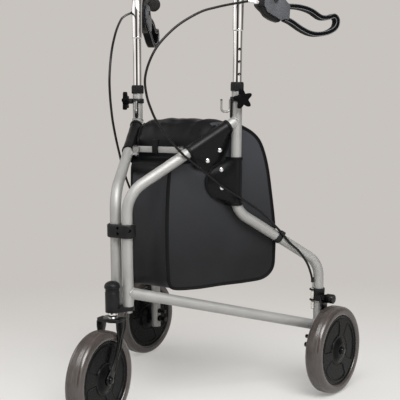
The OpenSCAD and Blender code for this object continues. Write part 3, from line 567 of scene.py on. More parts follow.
def zinc_steel():
    f = Finish("zinc_steel")
    f.base(f.colour(f.cloud(160, 5), (0.33, 0.33, 0.34), (0.42, 0.42, 0.41)))
    f.gloss(f.cloud(240, 4), 0.34, 0.48).bump(f.cloud(1500, 2), 0.05, 0.0002)
    return f.put(metallic=1.0).material


def moulded(name, colour, low, high, grain, shine):
    """Plastic from a lightly textured mould, paler where hands and knocks wear its edges."""
    f = Finish(name)
    tone = f.colour(f.cloud(35, 4), tint(colour, 0.85), tint(colour, 1.2))
    f.base(f.mix(f.edges(0.53, 0.62), tone, tint(colour, 2.4)))
    f.gloss(f.cloud(90, 5), low, high).bump(f.cloud(2200, 2), grain, 0.0003)
    return f.put(specular_ior_level=shine).material


def ribbed_rubber():
    f = Finish("ribbed_rubber")
    c = colours().moulding
    f.base(f.colour(f.cloud(50, 4), tint(c, 0.9), tint(c, 1.5)))
    f.gloss(f.cloud(70, 4), 0.55, 0.75).bump(f.cloud(1500, 3), 0.25, 0.0004)
    return f.put(specular_ior_level=0.4).material


# Heights in metres between which the leathercloth grows lighter: a painted sheen standing in for light from
# above
PAINTED_SHEEN_HEIGHTS = (0.30, 0.57)


def leathercloth(name, lift, grain, low, high, shine, painted_sheen_top):
    """Vinyl leathercloth: pebbled grain, soft sheen, paler where it is rubbed, and painted lighter towards
    the top as a sheen from above.
    """
    f = Finish(name)
    c = tint(colours().vinyl, lift)
    pebble = f.cells(620)
    broad = f.cloud(9, 5)
    tone = f.colour(broad, tint(c, 0.82), tint(c, 1.22))
    # Painted sheen: the colour grows lighter with height, standing in for the light on the upper panels
    tone = f.mix(f.height(*PAINTED_SHEEN_HEIGHTS), tone, tint(c, painted_sheen_top))
    rubbed = f.mix(f.spread(pebble, 0.12, 0.4, 0.0, 0.35), tone, tint(c, 1.7))
    f.base(rubbed).gloss(f.cloud(30, 5), low, high)
    f.bump(pebble, grain, 0.0006).bump(f.cloud(55, 3), 0.12, 0.002)
    return f.put(specular_ior_level=shine).material


def taupe_rubber():
    f = Finish("taupe_rubber")
    c = colours().tyre
    dust = f.colour(f.cloud(70, 6), tint(c, 0.86), tint(c, 1.14))
    f.base(f.mix(f.edges(0.52, 0.60), dust, tint(c, 1.35)))
    f.gloss(f.cloud(40, 5), 0.17, 0.25).bump(f.cloud(900, 4), 0.03, 0.0003)
    return f.put(specular_ior_level=0.85).material


def ivory_plastic():
    f = Finish("ivory_plastic")
    c = colours().ivory
    f.base(f.colour(f.cloud(120, 4), tint(c, 0.92), tint(c, 1.05)))
    f.gloss(f.cloud(200, 3), 0.34, 0.46).bump(f.cloud(1500, 2), 0.05, 0.0002)
    return f.put(specular_ior_level=0.5).material


# Mouldings: colour setting and share of it, lowest and highest roughness, grain, shine
MOULDED = {
    "moulded_black": ("moulding", 1.0, 0.34, 0.50, 0.10, 0.18),
    "pressed_black": ("moulding", 0.3, 0.13, 0.22, 0.04, 0.33),
    "lever_moulding": ("lever", 1.0, 0.34, 0.48, 0.14, 0.3),
    "disc_black": ("moulding", 0.45, 0.20, 0.32, 0.03, 0.11),
    "cable_cover": ("moulding", 0.7, 0.22, 0.32, 0.05, 0.22),
    "knob_black": ("moulding", 0.35, 0.40, 0.55, 0.08, 0.04),
}
# Leathercloths: share of the vinyl's colour, grain, lowest and highest roughness, shine, share at the top
# reached by the painted sheen
CLOTHS = {
    "leathercloth": (1.0, 0.30, 0.40, 0.54, 0.2, 4.6),
    "bound_edge": (0.45, 0.18, 0.40, 0.55, 0.12, 1.0),
    "flap_cloth": (0.5, 0.12, 0.22, 0.34, 0.15, 1.0),
    # The lid's cloth is a darker copy of the leathercloth: painted shade
    "lid_cloth": (0.55, 0.2, 0.26, 0.40, 0.10, 1.0),
}
OTHERS = {
    "silver_paint": silver_paint, "chrome": chrome, "zinc_steel": zinc_steel,
    "ribbed_rubber": ribbed_rubber, "taupe_rubber": taupe_rubber, "ivory_plastic": ivory_plastic,
}
FINISHES = {}


def finish(name):
    """The named finish, made once."""
    if name not in FINISHES:
        if name in MOULDED:
            setting, share, *look = MOULDED[name]
            FINISHES[name] = moulded(name, tint(getattr(colours(), setting), share), *look)
        elif name in CLOTHS:
            FINISHES[name] = leathercloth(name, *CLOTHS[name])
        else:
            FINISHES[name] = OTHERS[name]()
    return FINISHES[name]


# Stage
def worked(tree, operation, first, second):
    """Value that a math node makes of two sockets."""
    node = tree.nodes.new("ShaderNodeMath")
    node.operation = operation
    tree.links.new(first, node.inputs[0])
    tree.links.new(second, node.inputs[1])
    return node.outputs["Value"]


def mixed(tree, share, first, second):
    """Shader that goes from the first to the second as the share grows."""
    node = tree.nodes.new("ShaderNodeMixShader")
    tree.links.new(share, node.inputs["Fac"])
    tree.links.new(first, node.inputs[1])
    tree.links.new(second, node.inputs[2])
    return node.outputs["Shader"]


class ROLLATOR_OT_stage(bpy.types.Operator):
    """Sets up the camera, the pale studio floor and the soft light"""
    bl_idname = "rollator.stage"
    bl_label = "Studio stage"
    CAMERA_AT = (1.1756, -1.4276, 0.611)
    SENSOR = 36.0
    VIEW_END = 100.0
    # Place, aim and width of each light
    LIGHTS = {
        "key": ((2.1, -1.2, 2.5), (0.1, -0.1, 0.2), 2.0),
        "fill": ((-2.3, -1.0, 1.7), (0, 0, 0.4), 1.6),
        "top": ((0.7, -1.3, 2.3), (0.45, -0.9, 0), 1.6),
    }
    SKY_TINT = (1.0, 0.985, 0.97)
    # Azimuth in degrees and brightness of the mirrored studio
    CARDS = ((-180, 0.6), (-147, 1.0), (-118, 2.5), (-99, 1.8), (-86, 0.3), (-76, 0.04), (-60, 0.04),
             (-51, 0.3), (-40, 1.2), (-17, 2.4), (0, 1.9), (12, 1.1), (28, 0.4), (42, 0.2), (62, 0.5),
             (88, 1.0), (130, 0.9), (167, 0.65), (180, 0.6))
    CARD_LIGHT = 2.5
    # Floor as the camera sees it: place, reach and level of its brightest part, a painted pool of light,
    # and share of shadow lifted by that painted glow
    BRIGHT_SPOT = (0.7, -0.6, 0.0)
    BRIGHT_REACH = (0.7, 2.3)
    BRIGHT = 0.98
    SHADOW_LIFT = 0.28
    FLOOR_REACH = 14.0
    FLOOR_SIDES = 64

    def execute(self, context):
        stage = context.scene.rollator_stage
        context.scene.view_settings.view_transform = "Standard"
        self.camera(context, stage)
        self.floor()
        self.world(context, stage)
        for name, (place, aim, size) in self.LIGHTS.items():
            self.light(name, place, aim, size, getattr(stage, name))
        return {"FINISHED"}

    def camera(self, context, stage):
        a, e, r = stage.azimuth, stage.elevation, stage.roll
        back = Vector((math.sin(a) * math.cos(e), -math.cos(a) * math.cos(e), math.sin(e)))
        right = Vector((math.cos(a), math.sin(a), 0))
        up = back.cross(right)
        right, up = (right * math.cos(r) + up * math.sin(r), up * math.cos(r) - right * math.sin(r))
        data = bpy.data.cameras.new("camera")
        data.lens = stage.lens
        data.sensor_width = self.SENSOR
        data.clip_end = self.VIEW_END
        camera = bpy.data.objects.new("camera", data)
        camera.matrix_world = Matrix.Translation(self.CAMERA_AT) @ Matrix(
            (right, up, back)).transposed().to_4x4()
        context.scene.collection.objects.link(camera)
        context.scene.camera = camera

    def floor(self):
        c = colours()
        f = Finish("studio_floor")
        f.base(f.colour(f.cloud(3, 3), tint(c.floor, 0.985), tint(c.floor, 1.01)))
        f.put(roughness=0.85, specular_ior_level=0.15)
        distance = f.nodes.new("ShaderNodeVectorMath")
        distance.operation = "DISTANCE"
        distance.inputs[1].default_value = self.BRIGHT_SPOT
        f.links.new(f.coords, distance.inputs[0])
        far = f.spread(distance.outputs["Value"], *self.BRIGHT_REACH, 0.0, 1.0, "SMOOTHSTEP")
        # Painted glow: near the object a pool of light that lifts the floor's shadow, far off the
        # backdrop's colour
        glow = f.nodes.new("ShaderNodeEmission")
        f.links.new(f.mix(far, tint(c.floor, self.BRIGHT), tuple(c.backdrop)), glow.inputs["Color"])
        tree = f.material.node_tree
        path = f.nodes.new("ShaderNodeLightPath")
        seen = worked(tree, "MAXIMUM", path.outputs["Is Camera Ray"], path.outputs["Is Glossy Ray"])
        share = worked(tree, "MULTIPLY", f.spread(far, 0.0, 1.0, self.SHADOW_LIFT, 1.0), seen)
        surface = mixed(tree, share, f.shader.outputs["BSDF"], glow.outputs["Emission"])
        f.links.new(surface, f.nodes["Material Output"].inputs["Surface"])
        mesh = bpy.data.meshes.new("floor")
        rim = [(x, y, 0.0) for x, y in circle((0, 0), self.FLOOR_REACH, self.FLOOR_SIDES)]
        mesh.from_pydata(rim, [], [tuple(range(self.FLOOR_SIDES))])
        mesh.materials.append(f.material)
        floor = bpy.data.objects.new("floor", mesh)
        bpy.context.scene.collection.objects.link(floor)

    def world(self, context, stage):
        world = bpy.data.worlds.new("studio")
        world.use_nodes = True
        tree = world.node_tree
        soft = tree.nodes["Background"]
        soft.inputs["Color"].default_value = (*self.SKY_TINT, 1)
        soft.inputs["Strength"].default_value = stage.sky
        seen = tree.nodes.new("ShaderNodeBackground")
        seen.inputs["Color"].default_value = (*colours().backdrop, 1)
        mirrored = tree.nodes.new("ShaderNodeBackground")
        tree.links.new(self.studio_cards(tree), mirrored.inputs["Color"])
        mirrored.inputs["Strength"].default_value = self.CARD_LIGHT
        path = tree.nodes.new("ShaderNodeLightPath")
        either = worked(tree, "MAXIMUM", path.outputs["Is Camera Ray"], path.outputs["Is Transmission Ray"])
        surface = soft.outputs["Background"]
        for share, shader in ((path.outputs["Is Glossy Ray"], mirrored), (either, seen)):
            surface = mixed(tree, share, surface, shader.outputs["Background"])
        tree.links.new(surface, tree.nodes["World Output"].inputs["Surface"])
        context.scene.world = world

    def studio_cards(self, tree):
        """Backdrop as bright metal mirrors it: pale, with dark cards to the sides and front."""
        nodes, links = tree.nodes, tree.links
        place = nodes.new("ShaderNodeTexCoord")
        split = nodes.new("ShaderNodeSeparateXYZ")
        links.new(place.outputs["Generated"], split.inputs["Vector"])
        angle = worked(tree, "ARCTAN2", split.outputs["Y"], split.outputs["X"])
        share = nodes.new("ShaderNodeMapRange")
        share.inputs["From Min"].default_value = -math.pi
        share.inputs["From Max"].default_value = math.pi
        links.new(angle, share.inputs["Value"])
        ramp = nodes.new("ShaderNodeValToRGB")
        links.new(share.outputs["Result"], ramp.inputs["Fac"])
        stops = ramp.color_ramp.elements
        for k, (degrees, level) in enumerate(self.CARDS):
            stop = stops[k] if k < 2 else stops.new(1.0)
            stop.position = (degrees + 180) / 360
            stop.color = (*tint(colours().backdrop, level / self.CARD_LIGHT), 1)
        return ramp.outputs["Color"]

    def light(self, name, place, aim, size, power):
        data = bpy.data.lights.new(name, "AREA")
        data.shape = "DISK"
        data.size = size
        data.energy = power
        lamp = bpy.data.objects.new(name, data)
        lamp.location = place
        lamp.rotation_euler = (Vector(aim) - Vector(place)).to_track_quat("-Z", "Y").to_euler()
        bpy.context.scene.collection.objects.link(lamp)


# Brake cables
class ROLLATOR_OT_cables(bpy.types.Operator):
    """Runs the brake cables from the levers to the rear brakes, with their wire, barrel and clip"""
    bl_idname = "rollator.cables"
    bl_label = "Brake cables"
    RADIUS = 2.5
    # Where the cable goes from the frame's motion to the handle's: u in millimetres, heights in metres
    SLIDE_U = 200.0
    SLIDE_FROM = 0.46
    SLIDE_TO = 0.80
    # Barrel and what is on its axis: radius, height
    BARREL_U = 423.0
    FERRULE = ((0, 240), (2.9, 240.4), (3.2, 241), (3.2, 250), (2.6, 251.4), (0, 251.4))
    WIRE = ((0, 222), (1, 222), (1, 242), (0, 242))
    BARREL_FOOT = ((0, 182), (2.6, 182), (3.4, 183.2))
    BARREL_TOP = ((3.5, 204.5), (3.5, 226), (3.0, 227), (0, 227))
    THREAD_Z = 184.0
    THREADS = 9
    PITCH = 2.2
    # Tube clip: place along the frame, slant of its tube, band, eye for the cable and block between
    CLIP_U = 337.5
    SLANT = 31.87
    CLIP_BAND = ((SEAT_R, -6), (12.2, -6), (12.7, -5.4), (12.7, 5.4), (12.2, 6), (SEAT_R, 6))
    CLIP_EYE = ((2.55, -5), (3.9, -5), (4.2, -4.6), (4.2, 4.6), (3.9, 5), (2.55, 5))
    EYE_AT = (-11.0, -11.6)
    CLIP_BLOCK = ((-13.5, -13.5, -5), (-7.5, -8.5, 5))

    def execute(self, context):
        for side, place in SIDES:
            path = smooth_path(CABLE_ROUTE, 8)
            cable = Mould().sweep(path, round_section(self.RADIUS)).make(
                side + "_cable_cover", place, finish("cable_cover"), None, (side + "_brake_cable",))
            for name, profile, steps, look in (
                    ("_cable_ferrule", self.FERRULE, 24, "moulded_black"),
                    ("_brake_wire", self.WIRE, 12, "zinc_steel"),
                    ("_cable_barrel", self.barrel(), 28, "ivory_plastic")):
                turned = Mould().lathe(profile, shift(self.BARREL_U), steps)
                turned.make(side + name, place, finish(look), side + "_frame")
            self.clip(side, place)
            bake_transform(cable)
        return {"FINISHED"}

    def barrel(self):
        """Profile of the barrel, with its thread."""
        thread = []
        for k in range(self.THREADS):
            z = self.THREAD_Z + k * self.PITCH
            thread += [(3.5, z), (3.5, z + 1.1), (3.05, z + 1.5), (3.05, z + 1.9)]
        return [*self.BARREL_FOOT, *thread, *self.BARREL_TOP]

    def clip(self, side, place):
        """Moulded band round the rear tube, with an eye that holds the cable."""
        along = (self.CLIP_U - HANDLE_FOOT[0]) / math.cos(math.radians(self.SLANT))
        at = shift(*HANDLE_FOOT) @ turn(self.SLANT, "Y") @ shift(along) @ ALONG_X
        clip = Mould()
        clip.lathe(self.CLIP_BAND, at, 40)
        clip.lathe(self.CLIP_EYE, at @ shift(*self.EYE_AT), 24)
        clip.block(*self.CLIP_BLOCK, at, 0.8)
        clip.make(side + "_tube_clip", place, finish("moulded_black"), side + "_frame",
                  (side + "_cable_clip",))


# Wheels
class ROLLATOR_OT_wheels(bpy.types.Operator):
    """Makes the three wheels: grooved tyre, panelled disc and axle bolt"""
    bl_idname = "rollator.wheels"
    bl_label = "Wheels"
    # Disc: radii of its rings, and height of its face and boss above the wheel's middle plane
    DISC_R = 75.98
    RADII = (4.2, 7, 10, 12.5, 14, 15, 16, 18, 20.5, 23, 25.5, 27.5, 29, 30.2, 31, 31.6, 32.1, 32.7,
             33.4, 34.2, 35, 36.2, 38, 41, 45, 49, 53, 56.5, 59.5, 61.5, 62.8, 63.8, 64.6, 65.3, 65.9,
             66.4, 67, 67.8, 69.4, 70, 70.6, 71.4, 72, 73, 74.4, 75.2, DISC_R)
    DISC_STEPS = 360
    FACE_Z = 15.0
    BOSS_Z = 20.9
    # Recessed panels: turn in degrees, inner and outer radius, half angle, corner, depth, bead round them
    PANEL_TURNS = {"front": 79.0, "rear": 102.0}
    PANEL_IN = 32.6
    PANEL_OUT = 65.4
    PANEL_HALF = math.radians(44)
    PANEL_CORNER = 7.0
    PANEL_DEEP = 1.4
    BEAD = 0.9
    # Tyre: side wall as radius and distance from the middle plane, places of the grooves, radius
    WALL = ((76.0, 15.4), (76.6, 16.7), (78.0, 17.7), (80.0, 18.4), (82.4, 18.8), (84.6, 18.7))
    GROOVES = (9.0, 7.0, 5.0, 3.0, 1.0)
    TYRE_R = 95.0
    # Bolts: radius, distance along the axle
    REAR_AXLE = ((0, -21.6), (3.2, -21.6), (4, -20.8), (4, 59.4), (0, 59.4))
    AXLE_CAP = ((0, -33), (4.2, -33), (5.6, -31.6), (5.6, -18), (0, -18))
    AXLE_SPACER = ((4, 8.5), (7.9, 8.5), (8, 16.2), (7.4, 16.6), (4, 16.6))
    LEG_BOLT = ((0, -31), (3.2, -31), (4.4, -29.8), (4.4, -15), (0, -15))
    LEG_BOLT_UP = 19.0
    FRONT_AXLE = ((0, -29), (4, -29), (4, 29), (0, 29))
    # Nuts: radius of corners and washer as shares of the width across flats, washer's thickness
    NUT_CORNER = 0.577
    NUT_WASHER = 0.62
    WASHER = 1.1

    def execute(self, context):
        front = AT_CASTER @ shift(0, -TRAIL, AXLE_Z) @ ALONG_X
        self.wheel("front_wheel", front, "front", "front_wheel", ("front_tyre",), ("front_wheel_hub",))
        for side, place in SIDES:
            rear = place @ AT_LEG @ shift(WHEEL_OUT, 0, AXLE_Z) @ ALONG_X
            self.wheel(side + "_rear_wheel", rear, "rear", side + "_wheel",
                       (side + "_rear_tyre",), (side + "_rear_hub",))
            self.rear_axle(side, place @ AT_LEG @ shift(0, 0, AXLE_Z) @ ALONG_X)
        self.front_axle(front)
        return {"FINISHED"}

    def wheel(self, name, place, kind, body, tyre, hub):
        Mould().lathe(self.tyre_profile(), steps=144).make(
            name + "_tyre", place, finish("taupe_rubber"), body, tyre, angle=55)
        self.disc(self.PANEL_TURNS[kind]).make(
            name + "_disc", place, finish("disc_black"), body, hub, angle=50)

    def tyre_profile(self):
        deep = sizes().groove
        half = [*self.WALL]
        half += [(85.6 + 8.9 * math.sin(math.radians(a)), 9.9 + 8.7 * math.cos(math.radians(a)))
                 for a in range(10, 90, 10)]
        for z in self.GROOVES:
            crown = self.TYRE_R - 0.006 * z * z
            half += [(crown, z + 0.55), (crown - deep, z + 0.3), (crown - deep, z - 0.3), (crown, z - 0.55)]
        return half + [(r, -z) for r, z in reversed(half)]

    def face_height(self, r):
        """Disc face without its panels, from the middle of the wheel."""
        if r < 16:
            return self.BOSS_Z - 0.5 * slope(r, 12.5, 16)
        if r < 30:
            return self.FACE_Z + 5.4 * (1 - slope(r, 14.5, 29))
        if r < 69.5:
            return self.FACE_Z
        edge = 1.3 * slope(r, 71, 73) - 0.6 * slope(r, 75.2, 76)
        return self.FACE_Z - 0.5 * slope(r, 69.5, 70.3) + edge

    def panel_depth(self, r, a, first):
        """Depth of the disc's recessed panels, with a raised bead along their walls."""
        half, corner = self.PANEL_HALF, self.PANEL_CORNER
        across = (a - math.radians(first) + math.pi / 3) % (2 * math.pi / 3) - math.pi / 3
        side_gap = r * math.sin(half - abs(across)) if abs(across) < half + 0.6 else -r
        gap_r = min(r - self.PANEL_IN, self.PANEL_OUT - r)
        if gap_r < corner and side_gap < corner:
            gap = corner - math.hypot(corner - gap_r, corner - side_gap)
        else:
            gap = min(gap_r, side_gap)
        bead = slope(gap, -1.6, -0.5) * (1 - slope(gap, -0.5, 0.6))
        return self.PANEL_DEEP * slope(gap, -0.3, 1.8) - self.BEAD * bead

    def disc(self, first):
        steps = self.DISC_STEPS
        points, rings = [], []
        for sign in (1, -1):
            for r in self.RADII[::sign]:
                rings.append(len(points))
                for k in range(steps):
                    a = 2 * math.pi * k / steps
                    z = self.face_height(r) - self.panel_depth(r, a, first)
                    points.append((r * math.cos(a), r * math.sin(a), sign * z))
        faces = []
        for i, ring in enumerate(rings):
            after = rings[(i + 1) % len(rings)]
            for k in range(steps):
                n = (k + 1) % steps
                faces.append((ring + k, after + k, after + n, ring + n))
        return Mould().add(points, faces)

    def bolt_head(self, mould, at, radius, height):
        mould.lathe([(0, 0), (radius + 1.4, 0), (radius + 1.4, 1.2), (radius, 1.6),
                     (radius, height * 0.55), (radius * 0.86, height * 0.85), (radius * 0.5, height),
                     (0, height)], at, 36)

    def nut(self, mould, at, across, height):
        washer = across * self.NUT_WASHER
        mould.lathe([(0, 0), (washer, 0), (washer, self.WASHER), (0, self.WASHER)], at, 36)
        mould.plate(circle((0, 0), across * self.NUT_CORNER, 6), self.WASHER, height, at, 0.7)

    def rear_axle(self, side, at):
        axle = Mould()
        axle.lathe(self.REAR_AXLE, steps=24)
        self.bolt_head(axle, shift(0, 0, self.REAR_AXLE[-1][1]), 7.6, 6)
        self.nut(axle, shift(0, 0, -11.6) @ turn(180, "X"), 13, 7)
        axle.lathe(self.AXLE_CAP, steps=28)
        axle.lathe(self.AXLE_SPACER, steps=32)
        axle.make(side + "_axle_bolt", at, finish("pressed_black"), side + "_frame", (side + "_rear_axle",))
        stop = Mould()
        self.nut(stop, shift(0, 0, -10.8) @ turn(180, "X"), 10, 5)
        stop.lathe(self.LEG_BOLT, steps=24)
        stop.make(side + "_leg_bolt", at @ shift(-self.LEG_BOLT_UP), finish("pressed_black"),
                  side + "_frame")

    def front_axle(self, at):
        axle = Mould()
        axle.lathe(self.FRONT_AXLE, steps=24)
        self.bolt_head(axle, shift(0, 0, 24.4), 7.0, 6)
        self.nut(axle, shift(0, 0, -24.4) @ turn(180, "X"), 13, 6)
        axle.make("front_axle_bolt", at, finish("pressed_black"), "caster", ("front_axle",))


# Caster and hinge head
class ROLLATOR_OT_caster(bpy.types.Operator):
    """Makes the swivelling fork with its stem and spacer"""
    bl_idname = "rollator.caster"
    bl_label = "Caster"
    CROWN_Z = 201.0
    # Outline of a fork leg, down to the axle's eye and up again: distance towards the axle, height
    LEG_DOWN = ((22, CROWN_Z + 4), (22, 189.8), (17, 174.3), (18, 162), (27.5, 138.3), (38.5, 118.7))
    LEG_UP = ((30.5, 106.3), (20.5, 125.9), (9.5, 145.5), (4, 162), (-3.5, 175.3), (-10, 189.8),
              (-10, CROWN_Z + 4))
    EYE_R = 11.0
    # Distance from the middle of the fork: a leg's inner and outer face, its rim, its washer's face
    LEG_IN = 21.4
    LEG_OUT = 24.4
    RIM_AT = 24.2
    WASHER_OUT = 25.4
    # Crown plate and the lip along its front edge, seen from above
    CROWN = ((-25, -22), (25, -22), (25, 17), (-25, 17))
    LIP = ((-24, 2), (-24, -16), (-19, -21.3), (0, -21.6), (19, -21.3), (24, -16), (24, 2))
    LIP_Z = CROWN_Z + 5.6
    # Turned pieces: radius, height
    UNDER_CROWN = ((0, CROWN_Z - 3), (13, CROWN_Z - 3), (14, CROWN_Z), (0, CROWN_Z))
    RIVET = ((0, CROWN_Z + 5.8), (3.4, CROWN_Z + 5.8), (3.2, CROWN_Z + 7.6), (2, CROWN_Z + 8.4),
             (0, CROWN_Z + 8.5))
    RIVETS_AT = ((-17, -15), (17, -15))
    SPACER = (
        (0, 204), (9.8, 204), (10, 204.4), (10, 207.2), (9.6, 207.8), (8.3, 208.1), (8.3, 209),
        (9.5, 209.3), (9.9, 209.9), (9.9, 216.4), (9.4, 217.3), (6, 217.4), (6, 262.5), (9.3, 262.6),
        (9.3, 267.2), (6, 267.9), (0, 268))

    def execute(self, context):
        leg_side = Matrix(((0, 0, -1, 0), (-1, 0, 0, 0), (0, 1, 0, 0), (0, 0, 0, 1)))
        eye = (TRAIL, AXLE_Z)
        leg = rounded([*self.LEG_DOWN, *arc(eye, self.EYE_R, 37, -143, 16), *self.LEG_UP], 6, 3)
        fork = Mould()
        for s in (-1, 1):
            fork.plate(leg, *sorted((s * self.LEG_IN, s * self.LEG_OUT)), leg_side, 0.8)
            rim = smooth_path([(x + 1.2, y + 0.6, s * self.RIM_AT) for x, y in self.LEG_UP], 5)
            fork.sweep(rim, round_section(1.7, 10), leg_side)
            washer = sorted((s * self.RIM_AT, s * self.WASHER_OUT))
            fork.plate(circle(eye, 9.6, 36), *washer, leg_side, 0.6)
        fork.plate(rounded(self.CROWN, 6), self.CROWN_Z, self.CROWN_Z + 6, None, 1.5)
        lip = smooth_path([(x, y, self.LIP_Z) for x, y in self.LIP], 6)
        fork.sweep(lip, round_section(1.5, 10))
        fork.lathe(self.UNDER_CROWN, None, 36)
        fork.make("caster_fork_pressing", AT_CASTER, finish("pressed_black"), "caster", ("caster_fork",))
        rivets = Mould()
        for x, y in self.RIVETS_AT:
            rivets.lathe(self.RIVET, shift(x, y), 20)
        rivets.make("caster_fork_rivets", AT_CASTER, finish("pressed_black"), "caster")
        spacer = Mould().lathe(self.SPACER)
        spacer.make("caster_spacer", AT_CASTER, finish("chrome"), "caster", ("caster_stem",))
        return {"FINISHED"}


class ROLLATOR_OT_hinge_head(bpy.types.Operator):
    """Makes the two brackets that join the posts, the swivel housing and its cap"""
    bl_idname = "rollator.hinge_head"
    bl_label = "Hinge head"
    POST_X = 15.5
    STEM_Y = -29.5
    # Upper bracket: radius round a post, bore for it, heights
    UPPER_R = 17.1
    POST_BORE = 11.15
    UPPER_Z = (364.4, 391.4)
    # Place and facing of the recessed screws; hole and screw as radius and distance out
    SCREW_HOLES = ((5, -17.1, 385, -90), (5, -17.1, 373.5, -90), (29.9, -9.2, 380, -32.7))
    HOLE = ((0, -5), (3.4, -5), (3.4, 2), (0, 2))
    SCREW = ((0, -5.4), (3.1, -5.4), (3.1, -4.2), (1.6, -4.0), (1.4, -4.6), (0, -4.6))
    # Lower bracket: radius round a post and round the stem, bore for the stem, heights
    LOWER_R = 12.1
    SWIVEL_R = 14.5
    STEM_BORE = 6.4
    LOWER_Z = (218, 226)
    # Turned pieces round the stem: radius, height
    HOUSING = ((11.0, 218), (12.6, 218), (SWIVEL_R, 220.6), (SWIVEL_R, 258.6), (14.1, 259.4),
               (13.6, 259.7), (13.6, 261.2), (14.1, 261.5), (14.1, 262), (11.0, 262))
    CAP_FOOT = ((10.5, 262.1), (13.9, 262.1), (13.9, 265.6), (15.4, 266), (15.9, 266.6))
    CAP_TOP = ((0, 280.9), (0, 272), (10.5, 271))

    def execute(self, context):
        edge = sizes().edge
        left, right = (self.POST_X, 0), (-self.POST_X, 0)
        stem = (0, self.STEM_Y)
        upper = Mould()
        loop = hull(circle(right, self.UPPER_R, 48) + circle(left, self.UPPER_R, 48))
        bores = [circle(post, self.POST_BORE, 40) for post in (right, left)]
        upper.plate(loop, *self.UPPER_Z, None, 2 * edge, bores)
        holes = Mould()
        screws = Mould()
        for x, y, z, facing in self.SCREW_HOLES:
            at = shift(x, y, z) @ turn(facing, "Z") @ ALONG_X
            holes.lathe(self.HOLE, at, 24)
            screws.lathe(self.SCREW, at, 20)
        upper.bore(holes)
        upper.make("upper_hinge_moulding", HEAD, finish("moulded_black"), "hinge_head",
                   ("upper_hinge_bracket",))
        screws.make("upper_hinge_screws", HEAD, finish("pressed_black"), "hinge_head")
        lower = Mould()
        loop = hull(circle(right, self.LOWER_R, 48) + circle(left, self.LOWER_R, 48)
                    + circle(stem, self.SWIVEL_R, 48))
        lower.plate(loop, *self.LOWER_Z, None, edge, [circle(stem, self.STEM_BORE, 32)])
        lower.lathe(self.HOUSING, shift(*stem), 56)
        lower.make("swivel_housing", HEAD, finish("moulded_black"), "hinge_head", ("lower_hinge_bracket",))
        dome = [(15.9 * math.cos(math.radians(a)), 269.4 + 11.4 * math.sin(math.radians(a)))
                for a in range(0, 90, 9)]
        cap = Mould().lathe([*self.CAP_FOOT, *dome, *self.CAP_TOP], shift(*stem), 56)
        cap.make("swivel_cap", HEAD, finish("moulded_black"), "hinge_head", ("caster_cap",))
        dress("caster_bushes", "ivory_plastic")
        dress("hinge_pins", "zinc_steel")
        return {"FINISHED"}


def dress(node, name):
    """Gives a kept node its finish."""
    mesh = frame["nodes"][node].data
    mesh.materials.clear()
    mesh.materials.append(finish(name))


